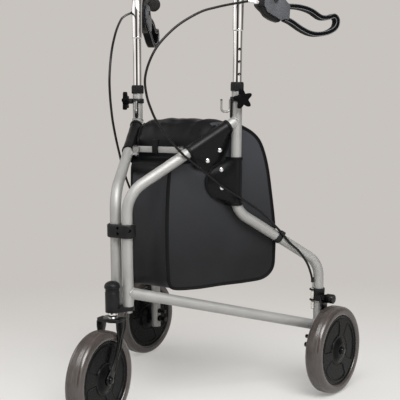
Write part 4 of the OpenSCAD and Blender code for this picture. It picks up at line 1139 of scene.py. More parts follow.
# Side frames
class ROLLATOR_OT_side_frames(bpy.types.Operator):
    """Finishes the side frames' tubes and adds welds, clamps, knobs and hooks"""
    bl_idname = "rollator.side_frames"
    bl_label = "Side frames"
    # Welds: steps round a seam, ends of the lower rail, upper end of the diagonal, spreader's eye
    SEAM_STEPS = 40
    RAIL_FRONT_Z = 254.4
    RAIL_REAR_Z = 143.0
    DIAG_END = (240.9, 595.4)
    EYE = ((118.6, 11.1, 523.2), (131.6, 11.1, 523.2), (131.8, 10.8, 529.0), (118.4, 10.0, 529.0))
    # Turned pieces: radius, height or distance out
    FOOT_PLUG = ((0, 71.6), (9.8, 71.6), (11.0, 72.6), (11.1, 73.9), (9.4, 74.0), (9.4, 88), (0, 88))
    COLLAR = ((SEAT_R, 247), (12.6, 247), (13.2, 247.8), (13.2, 248.6), (13.3, 249), (13.3, 262),
              (13.2, 263.4), (13.2, 264.6), (12.4, 265.6), (9.7, 265.6), (9.7, 264.1), (SEAT_R, 264))
    BAND = ((SEAT_R, 225.4), (13.5, 225.4), (14.1, 226.2), (14.1, 234.6), (13.5, 235.4),
            (SEAT_R, 235.4))
    BOSS = ((0, 12.4), (6.0, 12.4), (6.0, 19.8), (5.4, 20.6), (0, 20.6))
    KNOB_FOOT = ((0, 21.1), (7.6, 21.1), (8.2, 21.8), (9.4, 24), (0, 24))
    KNOB_FACE = ((0, 32.4), (8.4, 32.4), (8.4, 33.0), (7.6, 33.1), (5.4, 32.9), (0, 32.8))
    STUD = ((0, 10.1), (3, 10.1), (3, 22), (0, 22))
    HOOK_TIP = ((0, 227.2), (2.1, 227.2), (2.4, 227.8), (2.4, 228.6), (1.6, 229.8), (0, 230.2))
    # Place of the hook's tip along the frame, and outline of the strip below the clamp's band
    HOOK_X = -35.12
    STRIP = ((-4, 192), (4, 192), (4, 228), (-4, 228))
    # Star of the knob: steps round it, radius between its lobes, their rise and turn, its two faces
    STAR_STEPS = 150
    STAR_R = 12.0
    LOBE = 9.3
    LOBE_TURN = math.radians(174)
    STAR_FACES = (23.2, 33.0)

    def execute(self, context):
        for side, place in SIDES:
            for node in ("front_tube", "rear_tube", "lower_rail"):
                dress(f"{side}_{node}", "silver_paint")
            dress(side + "_post_plug", "moulded_black")
            self.welds(side, place)
            self.foot_plug(side, place)
            self.clamp(side, place @ ON_HANDLE)
            self.knob(side, place @ ON_HANDLE @ shift(0, 0, KNOB_H) @ UPRIGHT)
            self.hook(side, place @ ON_HANDLE)
        return {"FINISHED"}

    def seam(self, start, slant, run):
        """Line where a tube that leaves along run meets a tube along z, at start on its axis."""
        line = []
        for k in range(self.SEAM_STEPS):
            a = 2 * math.pi * k / self.SEAM_STEPS
            across = TUBE_R * math.cos(a)
            over = TUBE_R * math.sin(a)
            out = math.sqrt(max(TUBE_R ** 2 - across ** 2, 0.0))
            line.append(Vector((start[0] + run * out, across,
                                start[1] + run * out * math.tan(slant) + over / math.cos(slant))))
        return line

    def bead(self, mould, line):
        """Weld along a closed line, with its ripple."""
        radius = sizes().weld
        count = len(line)
        path = []
        for k in range(count * 3):
            i, t = divmod(k, 3)
            path.append(line[i].lerp(line[(i + 1) % count], t / 3))
        section = [round_section(radius * s, 8) for s in (0.88, 1.06)]
        mould.sweep(path, lambda t: section[int(t * 60) % 2], closed=True)

    def welds(self, side, place):
        rail = math.atan2(self.RAIL_REAR_Z - self.RAIL_FRONT_Z, LEG_U)
        beads = Mould()
        self.bead(beads, self.seam((0, self.RAIL_FRONT_Z), rail, 1))
        self.bead(beads, self.seam((LEG_U, self.RAIL_REAR_Z), rail, -1))
        self.bead(beads, self.seam(self.DIAG_END, math.radians(DIAG), -1))
        self.bead(beads, [Vector(p) for p in self.EYE])
        beads.make(side + "_weld_beads", place, finish("silver_paint"), side + "_frame")

    def foot_plug(self, side, place):
        plug = Mould().lathe(self.FOOT_PLUG, shift(LEG_U), 40)
        plug.make(side + "_foot_plug", place, finish("moulded_black"), side + "_frame")

    def clamp(self, side, place):
        clamp = Mould()

        def fluted(a, r, z):
            return r + (0.45 * math.cos(22 * a) if r > 13 and 248 < z < 263 else 0.0)

        clamp.lathe(self.COLLAR, None, 176, fluted)
        clamp.lathe(self.BAND, None, 56)
        clamp.lathe(self.BOSS, shift(0, 0, KNOB_H) @ UPRIGHT, 28)
        clamp.plate(rounded(self.STRIP, 3), 12.0, 14.1, turn(-90, "Z") @ UPRIGHT, 0.6)
        clamp.make(side + "_clamp_collar", place, finish("moulded_black"), side + "_frame",
                   (side + "_handle_clamp",))

    def knob(self, side, place):
        star = []
        for k in range(self.STAR_STEPS):
            a = 2 * math.pi * k / self.STAR_STEPS
            lobe = (0.5 + 0.5 * math.cos(5 * (a - self.LOBE_TURN))) ** 1.25
            r = self.STAR_R + self.LOBE * lobe
            star.append((r * math.cos(a), r * math.sin(a)))
        knob = Mould()
        knob.plate(star, *self.STAR_FACES, None, 2.2)
        knob.lathe(self.KNOB_FOOT, None, 36)
        knob.lathe(self.KNOB_FACE, None, 40)
        knob.make(side + "_star_grip", place, finish("knob_black"), side + "_knob", (side + "_star_knob",))
        stud = Mould().lathe(self.STUD, None, 20)
        stud.make(side + "_knob_stud", place, finish("zinc_steel"), side + "_knob")

    def hook(self, side, place):
        dress(side + "_basket_hook", "zinc_steel")
        tip = Mould().lathe(self.HOOK_TIP, shift(self.HOOK_X), 20)
        tip.make(side + "_hook_tip", place, finish("moulded_black"), side + "_frame")


# Rear brakes
class ROLLATOR_OT_brakes(bpy.types.Operator):
    """Makes the rear brakes: band on the leg, cable tabs, arm and roller"""
    bl_idname = "rollator.brakes"
    bl_label = "Rear brakes"
    # Pivot of the arm and its roller: distance behind the leg's axis, height
    PIVOT = (-12.0, 208.0)
    ROLLER = (8.0, 204.0)
    # Band on the leg: foot, profile above it, cable tabs and the web between them
    BAND_Z = 200.0
    BAND = ((SEAT_R, 0), (13.4, 0), (14.1, 0.8), (14.1, 10), (13.6, 10.6), (13.6, 16.4), (14.1, 17),
            (14.1, 26.2), (13.4, 27), (SEAT_R, 27))
    TAB = ((-20, -6), (-10.5, -6), (-10.5, 6), (-20, 6))
    TAB_HOLE = (-15, 0)
    TABS_UP = (0, 23)
    TAB_THICK = 4
    WEB = ((-14.6, 3), (-11.5, 3), (-11.5, 24), (-13, 24))
    # Turned pieces: radius, distance out; outline of the arm's tail
    PIN = ((0, 13), (3, 13), (3, 18.2), (4.4, 18.3), (4.4, 18.9), (3.4, 19.0), (0, 19.0))
    RUBBER = ((0, 17.2), (9.2, 17.2), (10, 18), (10, 33.4), (9.2, 34.2), (5, 34.3), (4.4, 33.6), (0, 33.6))
    ROLLER_PIN = ((0, 33), (3, 33), (3, 34.4), (0, 34.5))
    TAIL = ((-14, 174), (6, 174), (12, 198), (-16, 200))

    def execute(self, context):
        for side, place in SIDES:
            self.bracket(side, place)
            self.arm(side, place @ AT_LEG)
        return {"FINISHED"}

    def bracket(self, side, place):
        z = self.BAND_Z
        leg = shift(LEG_U)
        band = Mould()
        band.lathe([(r, z + up) for r, up in self.BAND], leg, 48)
        for up in self.TABS_UP:
            band.plate(rounded(self.TAB, 3), z + up, z + up + self.TAB_THICK, leg, 0.7,
                       [circle(self.TAB_HOLE, 3.62, 24)])
        band.plate([(u, z + up) for u, up in self.WEB], -5.5, 5.5, leg @ UPRIGHT, 0.5)
        y, pivot_z = self.PIVOT
        band.block((4, y - 5, pivot_z - 5), (14.0, y + 5, pivot_z + 5), AT_LEG, 1.0)
        band.lathe(self.PIN, AT_LEG @ shift(0, *self.PIVOT) @ ALONG_X, 24)
        band.make(side + "_brake_band", place, finish("moulded_black"), side + "_frame",
                  (side + "_brake_bracket",))

    def arm(self, side, place):
        flat = Matrix(((0, 0, 1, 0), (1, 0, 0, 0), (0, 1, 0, 0), (0, 0, 0, 1)))
        outline = hull(circle(self.PIVOT, 7.2, 28) + circle(self.ROLLER, 8.6, 28))

        def grooved(a, r, z):
            return r + (0.35 * math.cos(16 * a) if r > 9.5 else 0)

        shoe = Mould()
        shoe.plate(outline, 14.5, 17.5, flat, 0.7, [circle(self.PIVOT, 3.1, 24)])
        shoe.plate(rounded(self.TAIL, 4), 14.7, 17.3, flat, 0.6)
        at = shift(0, *self.ROLLER) @ ALONG_X
        shoe.lathe(self.RUBBER, at, 48, grooved)
        shoe.lathe(self.ROLLER_PIN, at, 20)
        shoe.make(side + "_brake_arm", place, finish("pressed_black"), side + "_brake",
                  (side + "_brake_shoe",), slot="black_plastic")


# Handles
class ROLLATOR_OT_handles(bpy.types.Operator):
    """Makes the handles: grip, lever housing, loop lever and cable adjuster"""
    bl_idname = "rollator.handles"
    bl_label = "Handles"
    # Lever's loop, its cheeks and the housing: distance along the bar, height from the bar's axis
    LINE = ((106, -48), (139, -48), (167, -54), (191, -66), (209, -66), (224, -62), (232, -71),
            (228, -86), (211, -97), (187, -102), (167, -101), (145, -93), (121, -80), (105, -74))
    CHEEK = ((53, -40), (53, -52), (58, -57), (60, -63), (94, -79), (103, -75), (112, -78), (114, -46),
             (106, -41), (95, -26), (86, -21), (66, -21))
    HOUSING = ((38, -34), (38, -52), (53, -64), (59, -72), (73, -79), (90, -83), (96, -78), (96, -58),
               (92, -24), (93.6, -8), (52, -8))
    # Grip: start along the bar, ribs, and ends as radius and distance along
    GRIP_AT = 94.0
    RIBS = 18
    RIB_FROM = 11.0
    RIB_PITCH = 5.3
    GRIP_FOOT = ((SEAT_R, 0), (15.8, 0), (16.7, 0.8), (17, 2), (17, 5.6), (16.4, 7.4), (15.4, 8.6))
    GRIP_END = ((15.4, 107.6), (16.5, 109), (17, 110.6), (17, 115), (16.2, 117), (14, 117.9), (6, 118),
                (5, 117.4), (0, 117.4), (0, 114.2), (SEAT_R, 114.1))
    # Housing: half width, sleeve on the bar, block for the cable, screws
    HOUSING_HALF = 7.6
    SLEEVE = ((SEAT_R, 52), (14.4, 52), (15.5, 53.2), (15.5, 92.4), (14.6, 93.6), (SEAT_R, 93.6))
    CABLE_BLOCK = ((38, -20, -52), (50, 7.6, -30))
    SCREWS_AT = (58, 86)
    SCREW = ((0, 15.2), (4.6, 15.2), (4.6, 16.4), (4.0, 17), (2.2, 17), (2.2, 16), (0, 16))
    # Lever: section of the loop, pads on the cheeks, bridge between them
    BAR = ((-4.9, -9), (4.9, -9), (4.9, 9), (-4.9, 9))
    PAD = ((63, -45.5), (86, -45.5), (86, -28), (63, -28))
    BRIDGE = ((101, -45.5), (113, -44), (112, -77), (102, -76))
    # Raised rim along each edge of the loop, in the levers' lighter grey as a painted highlight: distance
    # from its middle line, from its middle plane, radius
    RIM_OFF = 3.9
    RIM_Y = 8.5
    RIM_R = 0.9
    # Cable adjuster: place on the housing, profile
    ADJUSTER_AT = (38, -15, -45)
    ADJUSTER = ((0, -8), (3, -8), (3, 0), (4.2, 0.3), (4.4, 1), (4.4, 3), (3.4, 3.4), (3.4, 4.2),
                (4.45, 4.6), (4.45, 11.4), (4.0, 12.2), (3.9, 14), (3.6, 15), (3.4, 23), (3.0, 24), (0, 24))
    # Seam of the handle post: radius, height along it
    SHOULDER = ((9.5, 369.2), (10.4, 369.6), (11.1, 370.6), (11.25, 371.6), (11.2, 372.6), (11.1, 373.2),
                (9.5, 373.2))

    def execute(self, context):
        for side, place in SIDES:
            at = place @ ON_HANDLE @ shift(0, 0, BAR_H)
            dress(side + "_handle_tube", "chrome")
            dress(side + "_lever_pin", "moulded_black")
            self.grip(side, at @ shift(self.GRIP_AT) @ ALONG_X)
            self.housing(side, at)
            self.lever(side, at)
            self.adjuster(side, at @ shift(*self.ADJUSTER_AT) @ turn(-90, "Y"))
            self.shoulder(side, place @ ON_HANDLE)
        return {"FINISHED"}

    def grip(self, side, place):
        ribs = []
        for k in range(self.RIBS):
            z = self.RIB_FROM + k * self.RIB_PITCH
            ribs += [(15.2, z), (15.8, z + 0.9), (15.9, z + 2.4), (15.3, z + 3.4), (14.9, z + 4.2)]
        profile = [*self.GRIP_FOOT, *ribs, *self.GRIP_END]

        def palm(a, r, z):
            return r - (0.9 * max(math.cos(a), 0.0) if 9 < z < 107 and r > 14 else 0.0)

        Mould().lathe(profile, None, 64, palm).make(
            side + "_hand_grip", place, finish("ribbed_rubber"), side + "_handle", (side + "_grip",))

    def housing(self, side, place):
        body = Mould()
        body.plate(rounded(self.HOUSING, 6), -self.HOUSING_HALF, self.HOUSING_HALF, UPRIGHT, 1.8)
        body.lathe(self.SLEEVE, ALONG_X, 56)
        body.block(*self.CABLE_BLOCK, None, 2.2)
        for x in self.SCREWS_AT:
            body.lathe(self.SCREW, shift(x) @ turn(180, "X"), 24)
        body.make(side + "_lever_housing", place, finish("moulded_black"), side + "_handle",
                  (side + "_lever_body",))

    def lever(self, side, place):
        line = smooth_path([(x, 0, z) for x, z in self.LINE], 8)
        loop = Mould().sweep(line, rounded(self.BAR, 3.4, 5), None, flat=(0, 1, 0))
        loop.make(side + "_lever_loop", place, finish("knob_black"), side + "_lever")
        # Painted highlight: a raised rim along each edge of the loop, in the levers' lighter grey, stands
        # for the light its edges catch
        rim_highlights = Mould()
        for off in (-self.RIM_OFF, self.RIM_OFF):
            for y in (-self.RIM_Y, self.RIM_Y):
                rim_highlights.sweep(self.beside(line, off, y), round_section(self.RIM_R, 8))
        rim_highlights.make(side + "_lever_rims", place, finish("lever_moulding"), side + "_lever")
        lever = Mould()
        for low, sign in ((-13, -1), (8, 1)):
            lever.plate(rounded(self.CHEEK, 5), -low - 5, -low, UPRIGHT, 1.3)
            face = sorted((sign * 12.6, sign * 13.6))
            lever.plate(rounded(self.PAD, 4), -face[1], -face[0], UPRIGHT, 0.5)
        lever.plate(rounded(self.BRIDGE, 3), -9.5, 9.5, UPRIGHT, 1.5)
        lever.make(side + "_lever_cheeks", place, finish("lever_moulding"), side + "_lever",
                   (side + "_brake_lever",))

    def beside(self, line, off, y):
        """The line moved sideways in its own upright plane, and out to y."""
        moved = []
        last = len(line) - 1
        for i, p in enumerate(line):
            ahead = (line[min(i + 1, last)] - line[max(i - 1, 0)]).normalized()
            moved.append((p.x - ahead.z * off, y, p.z + ahead.x * off))
        return moved

    def adjuster(self, side, place):
        def knurl(a, r, z):
            return r + (0.22 * math.cos(20 * a) if r > 4.3 and 4 < z < 12 else 0.0)

        adjuster = Mould().lathe(self.ADJUSTER, None, 80, knurl)
        adjuster.make(side + "_adjuster_screw", place, finish("chrome"), side + "_handle",
                      (side + "_cable_adjuster",), slot="bright_steel")

    def shoulder(self, side, place):
        """Rolled seam where the wide upper tube is swaged to the height tube."""
        seam = Mould().lathe(self.SHOULDER, None, 48)
        seam.make(side + "_handle_shoulder", place, finish("chrome"), side + "_handle")


# Folding spreader
class ROLLATOR_OT_spreader(bpy.types.Operator):
    """Makes the folding spreader's bars, rivets and pull strap"""
    bl_idname = "rollator.spreader"
    bl_label = "Folding spreader"
    # Bars: width, thickness, lap past the middle, half the gap between them, pivot's distance in
    # from the swivel, profiles of the rivets and of the swivel's cap
    BAR = 13.0
    THICK = 4.0
    LAP = 9.0
    GAP = 0.4
    PIVOT_IN = 6.0
    RIVET = ((0, -0.2), (4.2, -0.2), (4.2, 0.5), (3.2, 1.5), (0, 1.9))
    CAP = ((0, 0), (6.2, 0), (6.4, 0.6), (5.6, 2.4), (3, 3.2), (0, 3.3))
    # Pull strap: place, section, rows of stitches from its middle, stitches in a row and their pitch
    STRAP_X = -4.0
    WEBBING = ((-0.75, -8), (0.75, -8), (0.75, 8), (-0.75, 8))
    STITCH_ROW = 6.4
    STITCHES = 8
    STITCH_PITCH = 2.6

    def execute(self, context):
        pivot = joint_mm("left_spreader_lift")
        swivel = joint_mm("left_spreader_swivel")
        half = self.BAR / 2
        for side, layer in (("left", -1), ("right", 1)):
            place = MM if side == "left" else MM @ MIRROR
            at = shift(swivel.x, swivel.y, pivot.z)
            y0 = self.GAP if layer > 0 else -self.GAP - self.THICK
            inner = -(swivel.x + self.LAP)
            bar = Mould()
            end = arc((-self.PIVOT_IN, 0), half, -80, 80, 12)
            outline = [(inner, -half), (-self.PIVOT_IN, -half), *end, (-self.PIVOT_IN, half), (inner, half)]
            bar.plate(outline, -y0 - self.THICK, -y0, at @ UPRIGHT, 0.9)
            bar.make(side + "_spreader_bar", place, finish("silver_paint"), side + "_link",
                     (side + "_spreader_link",))
            rivets = Mould()
            face = y0 if layer < 0 else y0 + self.THICK
            turned = turn(90 if layer < 0 else -90, "X")
            for x in (-swivel.x, -self.PIVOT_IN):
                rivets.lathe(self.RIVET, at @ shift(x, face) @ turned, 28)
            rivets.make(side + "_spreader_rivets", place, finish("zinc_steel"), side + "_link")
            dress(side + "_spreader_clevis", "zinc_steel")
            cap = Mould().lathe(self.CAP, shift(swivel.x, swivel.y, pivot.z + half - 1.0), 32)
            cap.make(side + "_spreader_cap", place, finish("moulded_black"), side + "_clevis")
        self.strap(swivel.y, pivot.z)
        return {"FINISHED"}

    def strap(self, y, z):
        """Pull loop: webbing doubled round the bars' lap."""
        half = self.BAR / 2
        front = y - self.GAP - self.THICK - 0.9
        loop = [(front, z - half - 0.6), (front - 0.3, z - 2), (front - 0.4, z + 4), (front + 0.2, z + 9),
                (front + 1.0, z + 15), (front + 1.4, z + 19.6), (front + 2.6, z + 21.2),
                (front + 3.7, z + 19.6), (front + 3.4, z + 14), (front + 2.2, z + half + 2)]
        path = smooth_path([(self.STRAP_X, a, b) for a, b in loop], 5)
        strap = Mould().sweep(path, rounded(self.WEBBING, 0.6, 2), None, flat=(1, 0, 0))
        seam = Mould()
        for x in (self.STRAP_X - self.STITCH_ROW, self.STRAP_X + self.STITCH_ROW):
            for k in range(self.STITCHES):
                up = k * self.STITCH_PITCH
                seam.block((x - 0.35, front - 1.35, z - 5 + up), (x + 0.35, front - 0.9, z - 3.3 + up),
                           None, 0.15)
        piece = strap.make("spreader_pull_strap", MM, finish("bound_edge"), "left_link",
                           ("spreader_strap",))
        seam.make("spreader_strap_stitches", MM, finish("flap_cloth"), "left_link")


# Bag
class ROLLATOR_OT_bag(bpy.types.Operator):
    """Makes the carry bag: sagging shell, piping, flaps over the tubes and press studs"""
    bl_idname = "rollator.bag"
    bl_label = "Carry bag"
    # Side view of the bag: distance behind the posts, height
    OUTLINE = ((86, 266), (96, 250), (140, 247), (190, 250), (240, 252), (276, 257), (295, 276),
               (299, 310), (299, 370), (292, 440), (284, 500), (272, 544), (256, 569), (234, 585),
               (208, 596), (186, 596), (171, 588), (160, 574), (152, 558), (149.5, 542), (148.6, 528),
               (144, 515), (112, 511), (96, 503), (90, 490), (86, 440), (84, 380), (84, 320))
    # Widening of the sides, their distance in from the tubes' axes, share of the width kept when folded,
    # and half the width of the binding
    SPLAY_TAN = math.tan(math.radians(30))
    SIDE_IN = 16.6
    FOLD_KEEP = 0.22
    BINDING = 2.4
    # Height in metres above which the shell is in the lid's darker copy of the leathercloth, painted shade,
    # apart from its side panels
    SHADED_LID_FROM = 0.5
    # Bound edges in the side view: rim of the front pocket, hem of the lid at the back
    POCKET_RIM = ((86.2, 488), (86.4, 494), (88.6, 500.5), (93, 505.6), (98, 508))
    LID_HEM = ((284.4, 496), (283.7, 499.5), (283.0, 503), (282.2, 506))
    # Middle of a side panel, and shares of the way out from it at which its rings lie
    PANEL_MIDDLE = (200, 420)
    PANEL_RINGS = (0.97, 0.9, 0.8, 0.68, 0.55, 0.42, 0.3, 0.18, 0.07)
    # Tongue on the handle post: free edge as distance behind the post's axis and height, ends of the wrap
    TONGUE = ((-4, 108), (-22, 105), (-40, 93), (-54, 81), (-63, 68), (-63, 52), (-58, 40), (-48, 29),
              (-34, 20), (-19, 14), (-4, 12))
    TONGUE_Z = (13, 108)
    # Sleeve on the front tube: ends along it, and how far it hangs below the tube's axis
    SLEEVE_ENDS = (156.0, 257.0)
    HANG = ((156, 38), (167, 50), (180, 60), (196, 61), (211, 60), (225, 51), (238, 41), (250, 26),
            (258, 19))
    # Flaps: radius of the wrap round a tube, place of the free edge across it, swell, thickness
    WRAP_R = 12.8
    EDGE_OUT = -12.2
    SWELL = 1.6
    FLAP_THICK = 1.6
    # Press studs: profile, places on the tongue and on the sleeve
    STUD = ((0, 0), (5.0, 0), (5.2, 0.4), (4.9, 1.0), (4.2, 1.7), (2.6, 2.4), (1.2, 2.6), (0, 2.65))
    TONGUE_STUDS = ((-32, 85), (-32, 48))
    SLEEVE_STUDS = ((182.5, -36.6), (216.1, -32.3))

    def execute(self, context):
        loop = [(y, z, 0) for y, z in self.OUTLINE + self.OUTLINE[:1]]
        ring = [(p.x, p.y) for p in smooth_path(loop, 5)][:-1]
        self.shell(ring)
        self.rim("bag_pocket_rim", self.POCKET_RIM, (-1.6, 1.0), 0.94)
        self.rim("bag_lid_hem", self.LID_HEM, (1.2, 0.0), 0.985)
        for side, place in SIDES:
            self.piping(side, ring, 1 if side == "left" else -1)
            self.sleeve(side, place)
            self.tongue(side, place)
            self.studs(side, place)
        return {"FINISHED"}

    def half_width(self, y):
        return POST.x + y * self.SPLAY_TAN - self.SIDE_IN

    def soften(self, x, y, z):
        """Folds and sag, as a shift in the bag's outline plane and across it."""
        c = sizes().crease
        wide = self.half_width(y)
        s = x / max(wide, 1.0)
        lid = slope(z, 545, 585) * slope(y, 130, 165)
        inset = (1 - abs(s)) * wide
        wander = 2.2 * noise.noise((inset * 0.02, y * 0.012, 4.2 if s > 0 else 8.8))
        pleats = math.sin(inset * 0.15 + wander + y * 0.012) * math.exp(-inset / 70)
        pleats += 0.8 * noise.noise((s * 3.0, y * 0.016, 4.2))
        tuck = 11.0 * slope(abs(s), 0.8, 1.0) * (1 - slope(y, 196, 226))
        sag = (6.0 * (1 - s * s) - 3.0 - tuck) * lid
        dz = lid * c * 0.6 * pleats * (1 - s ** 6) + sag
        back = slope(y, 255, 292)
        wave = 2.0 * math.sin(z * 0.021 + 1.0) + 1.6 * noise.noise((s * 2.4, z * 0.014, 7.7))
        dy = back * (1 - s ** 4) * wave
        front = 1 - slope(y, 90, 126)
        dy += front * (1 - s ** 4) * (1.6 * noise.noise((s * 2.0, z * 0.017, 1.3)) + 2.0)
        return dy, dz

    def panel_puff(self, y, z):
        """Outward swell of a side panel, with soft upright folds."""
        mid = slope(y, 95, 170) * (1 - slope(y, 225, 296)) * slope(z, 255, 320) * (1 - slope(z, 470, 560))
        fold = noise.noise((y * 0.018, z * 0.008, 2.9)) + 0.6 * noise.noise((y * 0.04, z * 0.012, 9.1))
        return -1.2 + 0.6 * mid + 0.9 * fold * (0.4 + 0.6 * mid)

    def shell(self, ring):
        across = [-1.0, -0.985, -0.96]
        across += [-0.92 + 1.84 * k / 30 for k in range(31)] + [0.96, 0.985, 1.0]
        points, faces = [], []
        count = len(ring)
        for s in across:
            for y, z in ring:
                x = s * self.half_width(y)
                dy, dz = self.soften(abs(x) if abs(s) == 1 else x, y, z)
                points.append((x, y + dy, z + dz))
        for i in range(len(across) - 1):
            for k in range(count):
                a, b = i * count + k, i * count + (k + 1) % count
                faces.append((a, b, b + count, a + count))
        rim = [(y + dy, z + dz) for y, z in ring for dy, dz in (self.soften(self.half_width(y), y, z),)]
        middle = Vector(self.PANEL_MIDDLE)
        for end, sign in ((0, -1), (len(across) - 1, 1)):
            before = end * count
            for f in self.PANEL_RINGS:
                first = len(points)
                for place in rim:
                    p = middle + (Vector(place) - middle) * f
                    edge = slope(1 - f, 0.0, 0.12)
                    x = self.half_width(p.x) + edge * self.panel_puff(p.x, p.y)
                    points.append((sign * x, p.x, p.y))
                for k in range(count):
                    n = (k + 1) % count
                    faces.append((before + k, before + n, first + n, first + k))
                before = first
            points.append((sign * (self.half_width(middle.x) + self.panel_puff(*middle)), *middle))
            faces += [(before + k, before + (k + 1) % count, len(points) - 1) for k in range(count)]
        bag = Mould().add(points, faces).make(
            "bag_shell", HEAD, finish("leathercloth"), "hinge_head", ("carry_bag",), angle=62)
        # The lid's faces take the darker copy of the leathercloth: painted shade
        bag.data.materials.append(finish("lid_cloth"))
        for face in bag.data.polygons:
            if face.center.z > self.SHADED_LID_FROM and abs(face.normal.x) < 0.5:
                face.material_index = 1
        self.follow_fold(bag)

    def follow_fold(self, piece):
        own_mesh(piece)

    def piping(self, side, ring, sign):
        """Welted edge round one side panel."""
        path = []
        for y, z in ring:
            dy, dz = self.soften(self.half_width(y), y, z)
            path.append(Vector((sign * (self.half_width(y) - 0.4), y + dy, z + dz)))
        ring = [(p.y, p.z) for p in path]
        welt = Mould().sweep(path, round_section(sizes().piping, 10), closed=True)
        band = []
        count = len(ring)
        for k, (y, z) in enumerate(ring):
            along = Vector(ring[(k + 1) % count]) - Vector(ring[k - 1])
            inward = Vector((-along.y, along.x)).normalized() * self.BINDING
            y, z = y + inward.x, z + inward.y
            band.append(Vector((sign * (self.half_width(y) - 0.1), y, z)))
        half = self.BINDING
        tape = rounded([(-half, -0.7), (half, -0.7), (half, 0.7), (-half, 0.7)], 0.6, 2)
        welt.sweep(band, tape, flat=(sign * math.cos(math.radians(30)), -0.5, 0), closed=True)
        piece = welt.make(side + "_bag_piping", HEAD, finish("bound_edge"), "hinge_head")
        self.follow_fold(piece)

    def rim(self, name, profile, out, reach):
        """Bound edge across the bag: the front pocket's rim, or the hem of the lid at the back."""
        rows = []
        for k in range(31):
            s = reach * (k / 15 - 1)
            row = []
            for y, z in profile:
                x = s * self.half_width(y)
                dy, dz = self.soften(x, y, z)
                row.append((x, y + dy + out[0], z + dz + out[1]))
            rows.append(row)
        piece = Mould().skin(rows, 1.4).make(name, HEAD, finish("bound_edge"), "hinge_head")
        self.follow_fold(piece)

    def hem(self, mould, line, at, across=None):
        """Binding along a line of points: flat on the panel, or with its width along one axis."""
        half, thick = sizes().hem / 2, 1.4
        reach = (half, thick) if across is None else (thick, half)
        section = [(-reach[0], -reach[1]), (reach[0], -reach[1]), reach, (-reach[0], reach[1])]
        mould.sweep(smooth_path(line, 4), rounded(section, 1.2, 3), at, flat=across or (0, 1, 0))

    def area(self, rows):
        """Area in square metres of a sheet given by rows of points."""
        rows = [[Vector(p) for p in row] for row in rows]
        return 1e-6 * sum((a[k] - b[k]).length * (a[k] - a[k + 1]).length
                          for a, b in zip(rows, rows[1:]) for k in range(len(a) - 1))

    def sleeve(self, side, place):
        """Flap draped over the front tube: over its top, down the outside and in to the panel."""
        start, end = self.SLEEVE_ENDS
        rows = []
        steps = 30
        for i in range(steps + 1):
            a = start + (end - start) * (i / steps)
            loose = 0.5 * math.sin(a * 0.19) + 0.35 * noise.noise((a * 0.05, 3.1, 0.4))
            wrap = self.drape((self.EDGE_OUT, -self.tail(a)), self.WRAP_R + 0.3 * loose, 236)
            rows.append([(a, -y, z) for y, z in wrap])
        flap = Mould().skin(rows, self.FLAP_THICK, ON_DIAG)
        piece = flap.make(side + "_tube_flap", place, finish("flap_cloth"), side + "_frame",
                          (side + "_bag_flap",), angle=60)
        hem = Mould()
        self.hem(hem, rows[0], ON_DIAG, (1, 0, 0))
        self.hem(hem, rows[-1], ON_DIAG, (1, 0, 0))
        self.hem(hem, [(r[-1][0], r[-1][1] - 0.9, r[-1][2] + 2.2) for r in rows[::3]], ON_DIAG)
        band = hem.make(side + "_flap_hem", place, finish("bound_edge"), side + "_frame")

    def tail(self, a):
        """How far the sleeve hangs under the front tube's axis."""
        for (a0, d0), (a1, d1) in zip(self.HANG, self.HANG[1:]):
            if a <= a1:
                return d0 + (d1 - d0) * max(a - a0, 0) / (a1 - a0)
        return self.HANG[-1][1]

    def tongue(self, side, place):
        """Flap that wraps the handle post and lies on the bag."""
        low, high = self.TONGUE_Z
        rows = []
        steps = 18
        for i in range(steps + 1):
            z = low + (high - low) * i / steps
            loose = 0.4 * noise.noise((z * 0.05, 0.3, 1.7))
            wrap = self.drape((self.EDGE_OUT, self.reach(z)), self.WRAP_R + loose, 220)
            rows.append([(x, -y, z) for y, x in wrap])
        flap = Mould().skin(rows, self.FLAP_THICK, ON_HANDLE)
        piece = flap.make(side + "_post_flap", place, finish("flap_cloth"), side + "_frame", angle=60)
        hem = Mould()
        self.hem(hem, [(r[-1][0] + 2.0, r[-1][1] - 0.9, r[-1][2]) for r in rows[::2]], ON_HANDLE)
        self.hem(hem, rows[0], ON_HANDLE, (0, 0, 1))
        self.hem(hem, rows[-1], ON_HANDLE, (0, 0, 1))
        band = hem.make(side + "_post_flap_hem", place, finish("bound_edge"), side + "_frame")

    def drape(self, foot, radius, start):
        """Section of a flap: round a tube from the start angle, then off it in a straight fall to its foot.
        Angles run from the outer side of the tube, where the first coordinate is the radius."""
        far = math.hypot(*foot)
        leave = math.degrees(math.atan2(foot[1], foot[0]) + math.acos(radius / far))
        line = arc((0, 0), radius, start, leave, 20)
        last = Vector(line[-1])
        for k in range(1, 11):
            u = k / 10
            p = last.lerp(Vector(foot), u)
            swell = self.SWELL * math.sin(math.pi * u) * min(far / 60, 1)
            line.append((p.x + swell, p.y))
        return line

    def reach(self, z):
        """Free edge of the tongue at a height."""
        best = -18.0
        for (x0, z0), (x1, z1) in zip(self.TONGUE, self.TONGUE[1:]):
            low, high = min(z0, z1), max(z0, z1)
            if low <= z <= high and high > low:
                best = min(best, x0 + (x1 - x0) * (z - z0) / (z1 - z0))
        return best

    def depth(self, foot, level):
        """How far out the falling part of a flap stands at a level."""
        fall = self.drape(foot, self.WRAP_R, 90)[20:]
        for (y0, z0), (y1, z1) in zip(fall, fall[1:]):
            if z1 <= level <= z0:
                return y0 + (y1 - y0) * (level - z0) / (z1 - z0)
        return fall[-1][0]

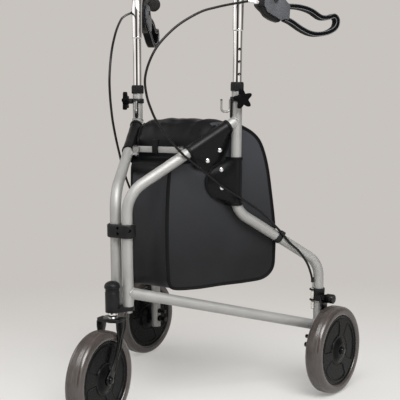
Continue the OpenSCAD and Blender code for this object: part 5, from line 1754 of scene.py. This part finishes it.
    def studs(self, side, place):
        studs = Mould()
        for x, z in self.TONGUE_STUDS:
            y = self.depth((self.EDGE_OUT, self.reach(z)), x)
            studs.lathe(self.STUD, ON_HANDLE @ shift(x, -y - 0.6, z) @ UPRIGHT, 28)
        for a, d in self.SLEEVE_STUDS:
            y = self.depth((self.EDGE_OUT, -self.tail(a)), d)
            studs.lathe(self.STUD, ON_DIAG @ shift(a, -y - 0.6, d) @ UPRIGHT, 28)
        studs.make(side + "_press_studs", place, finish("chrome"), side + "_frame", (side + "_flap_studs",),
                   slot="bright_steel")


# Panel and registration
MAKERS = (
    ROLLATOR_OT_stage, ROLLATOR_OT_cables, ROLLATOR_OT_side_frames, ROLLATOR_OT_hinge_head,
    ROLLATOR_OT_caster, ROLLATOR_OT_wheels, ROLLATOR_OT_brakes, ROLLATOR_OT_handles,
    ROLLATOR_OT_spreader, ROLLATOR_OT_bag,
)


class ROLLATOR_PT_panel(bpy.types.Panel):
    """Lists the settings and the pieces that can be made"""
    bl_label = "Rollator"
    bl_idname = "ROLLATOR_PT_panel"
    bl_space_type = "VIEW_3D"
    bl_region_type = "UI"
    bl_category = "Rollator"

    def draw(self, context):
        layout = self.layout
        scene = context.scene
        for group in (scene.rollator_colours, scene.rollator_sizes, scene.rollator_stage):
            box = layout.box()
            for name in group.__annotations__:
                box.prop(group, name)
        for maker in MAKERS:
            layout.operator(maker.bl_idname)


CLASSES = (RollatorColours, RollatorSizes, RollatorStage, *MAKERS, ROLLATOR_PT_panel)
GROUPS = {"rollator_colours": RollatorColours, "rollator_sizes": RollatorSizes,
          "rollator_stage": RollatorStage}


def register():
    for cls in CLASSES:
        bpy.utils.register_class(cls)
    for name, group in GROUPS.items():
        setattr(bpy.types.Scene, name, PointerProperty(type=group))


def unregister():
    for name in GROUPS:
        delattr(bpy.types.Scene, name)
    for cls in reversed(CLASSES):
        bpy.utils.unregister_class(cls)


def main():
    register()
    for maker in MAKERS:
        group, name = maker.bl_idname.split(".")
        getattr(getattr(bpy.ops, group), name)()


if __name__ == "__main__":
    main()
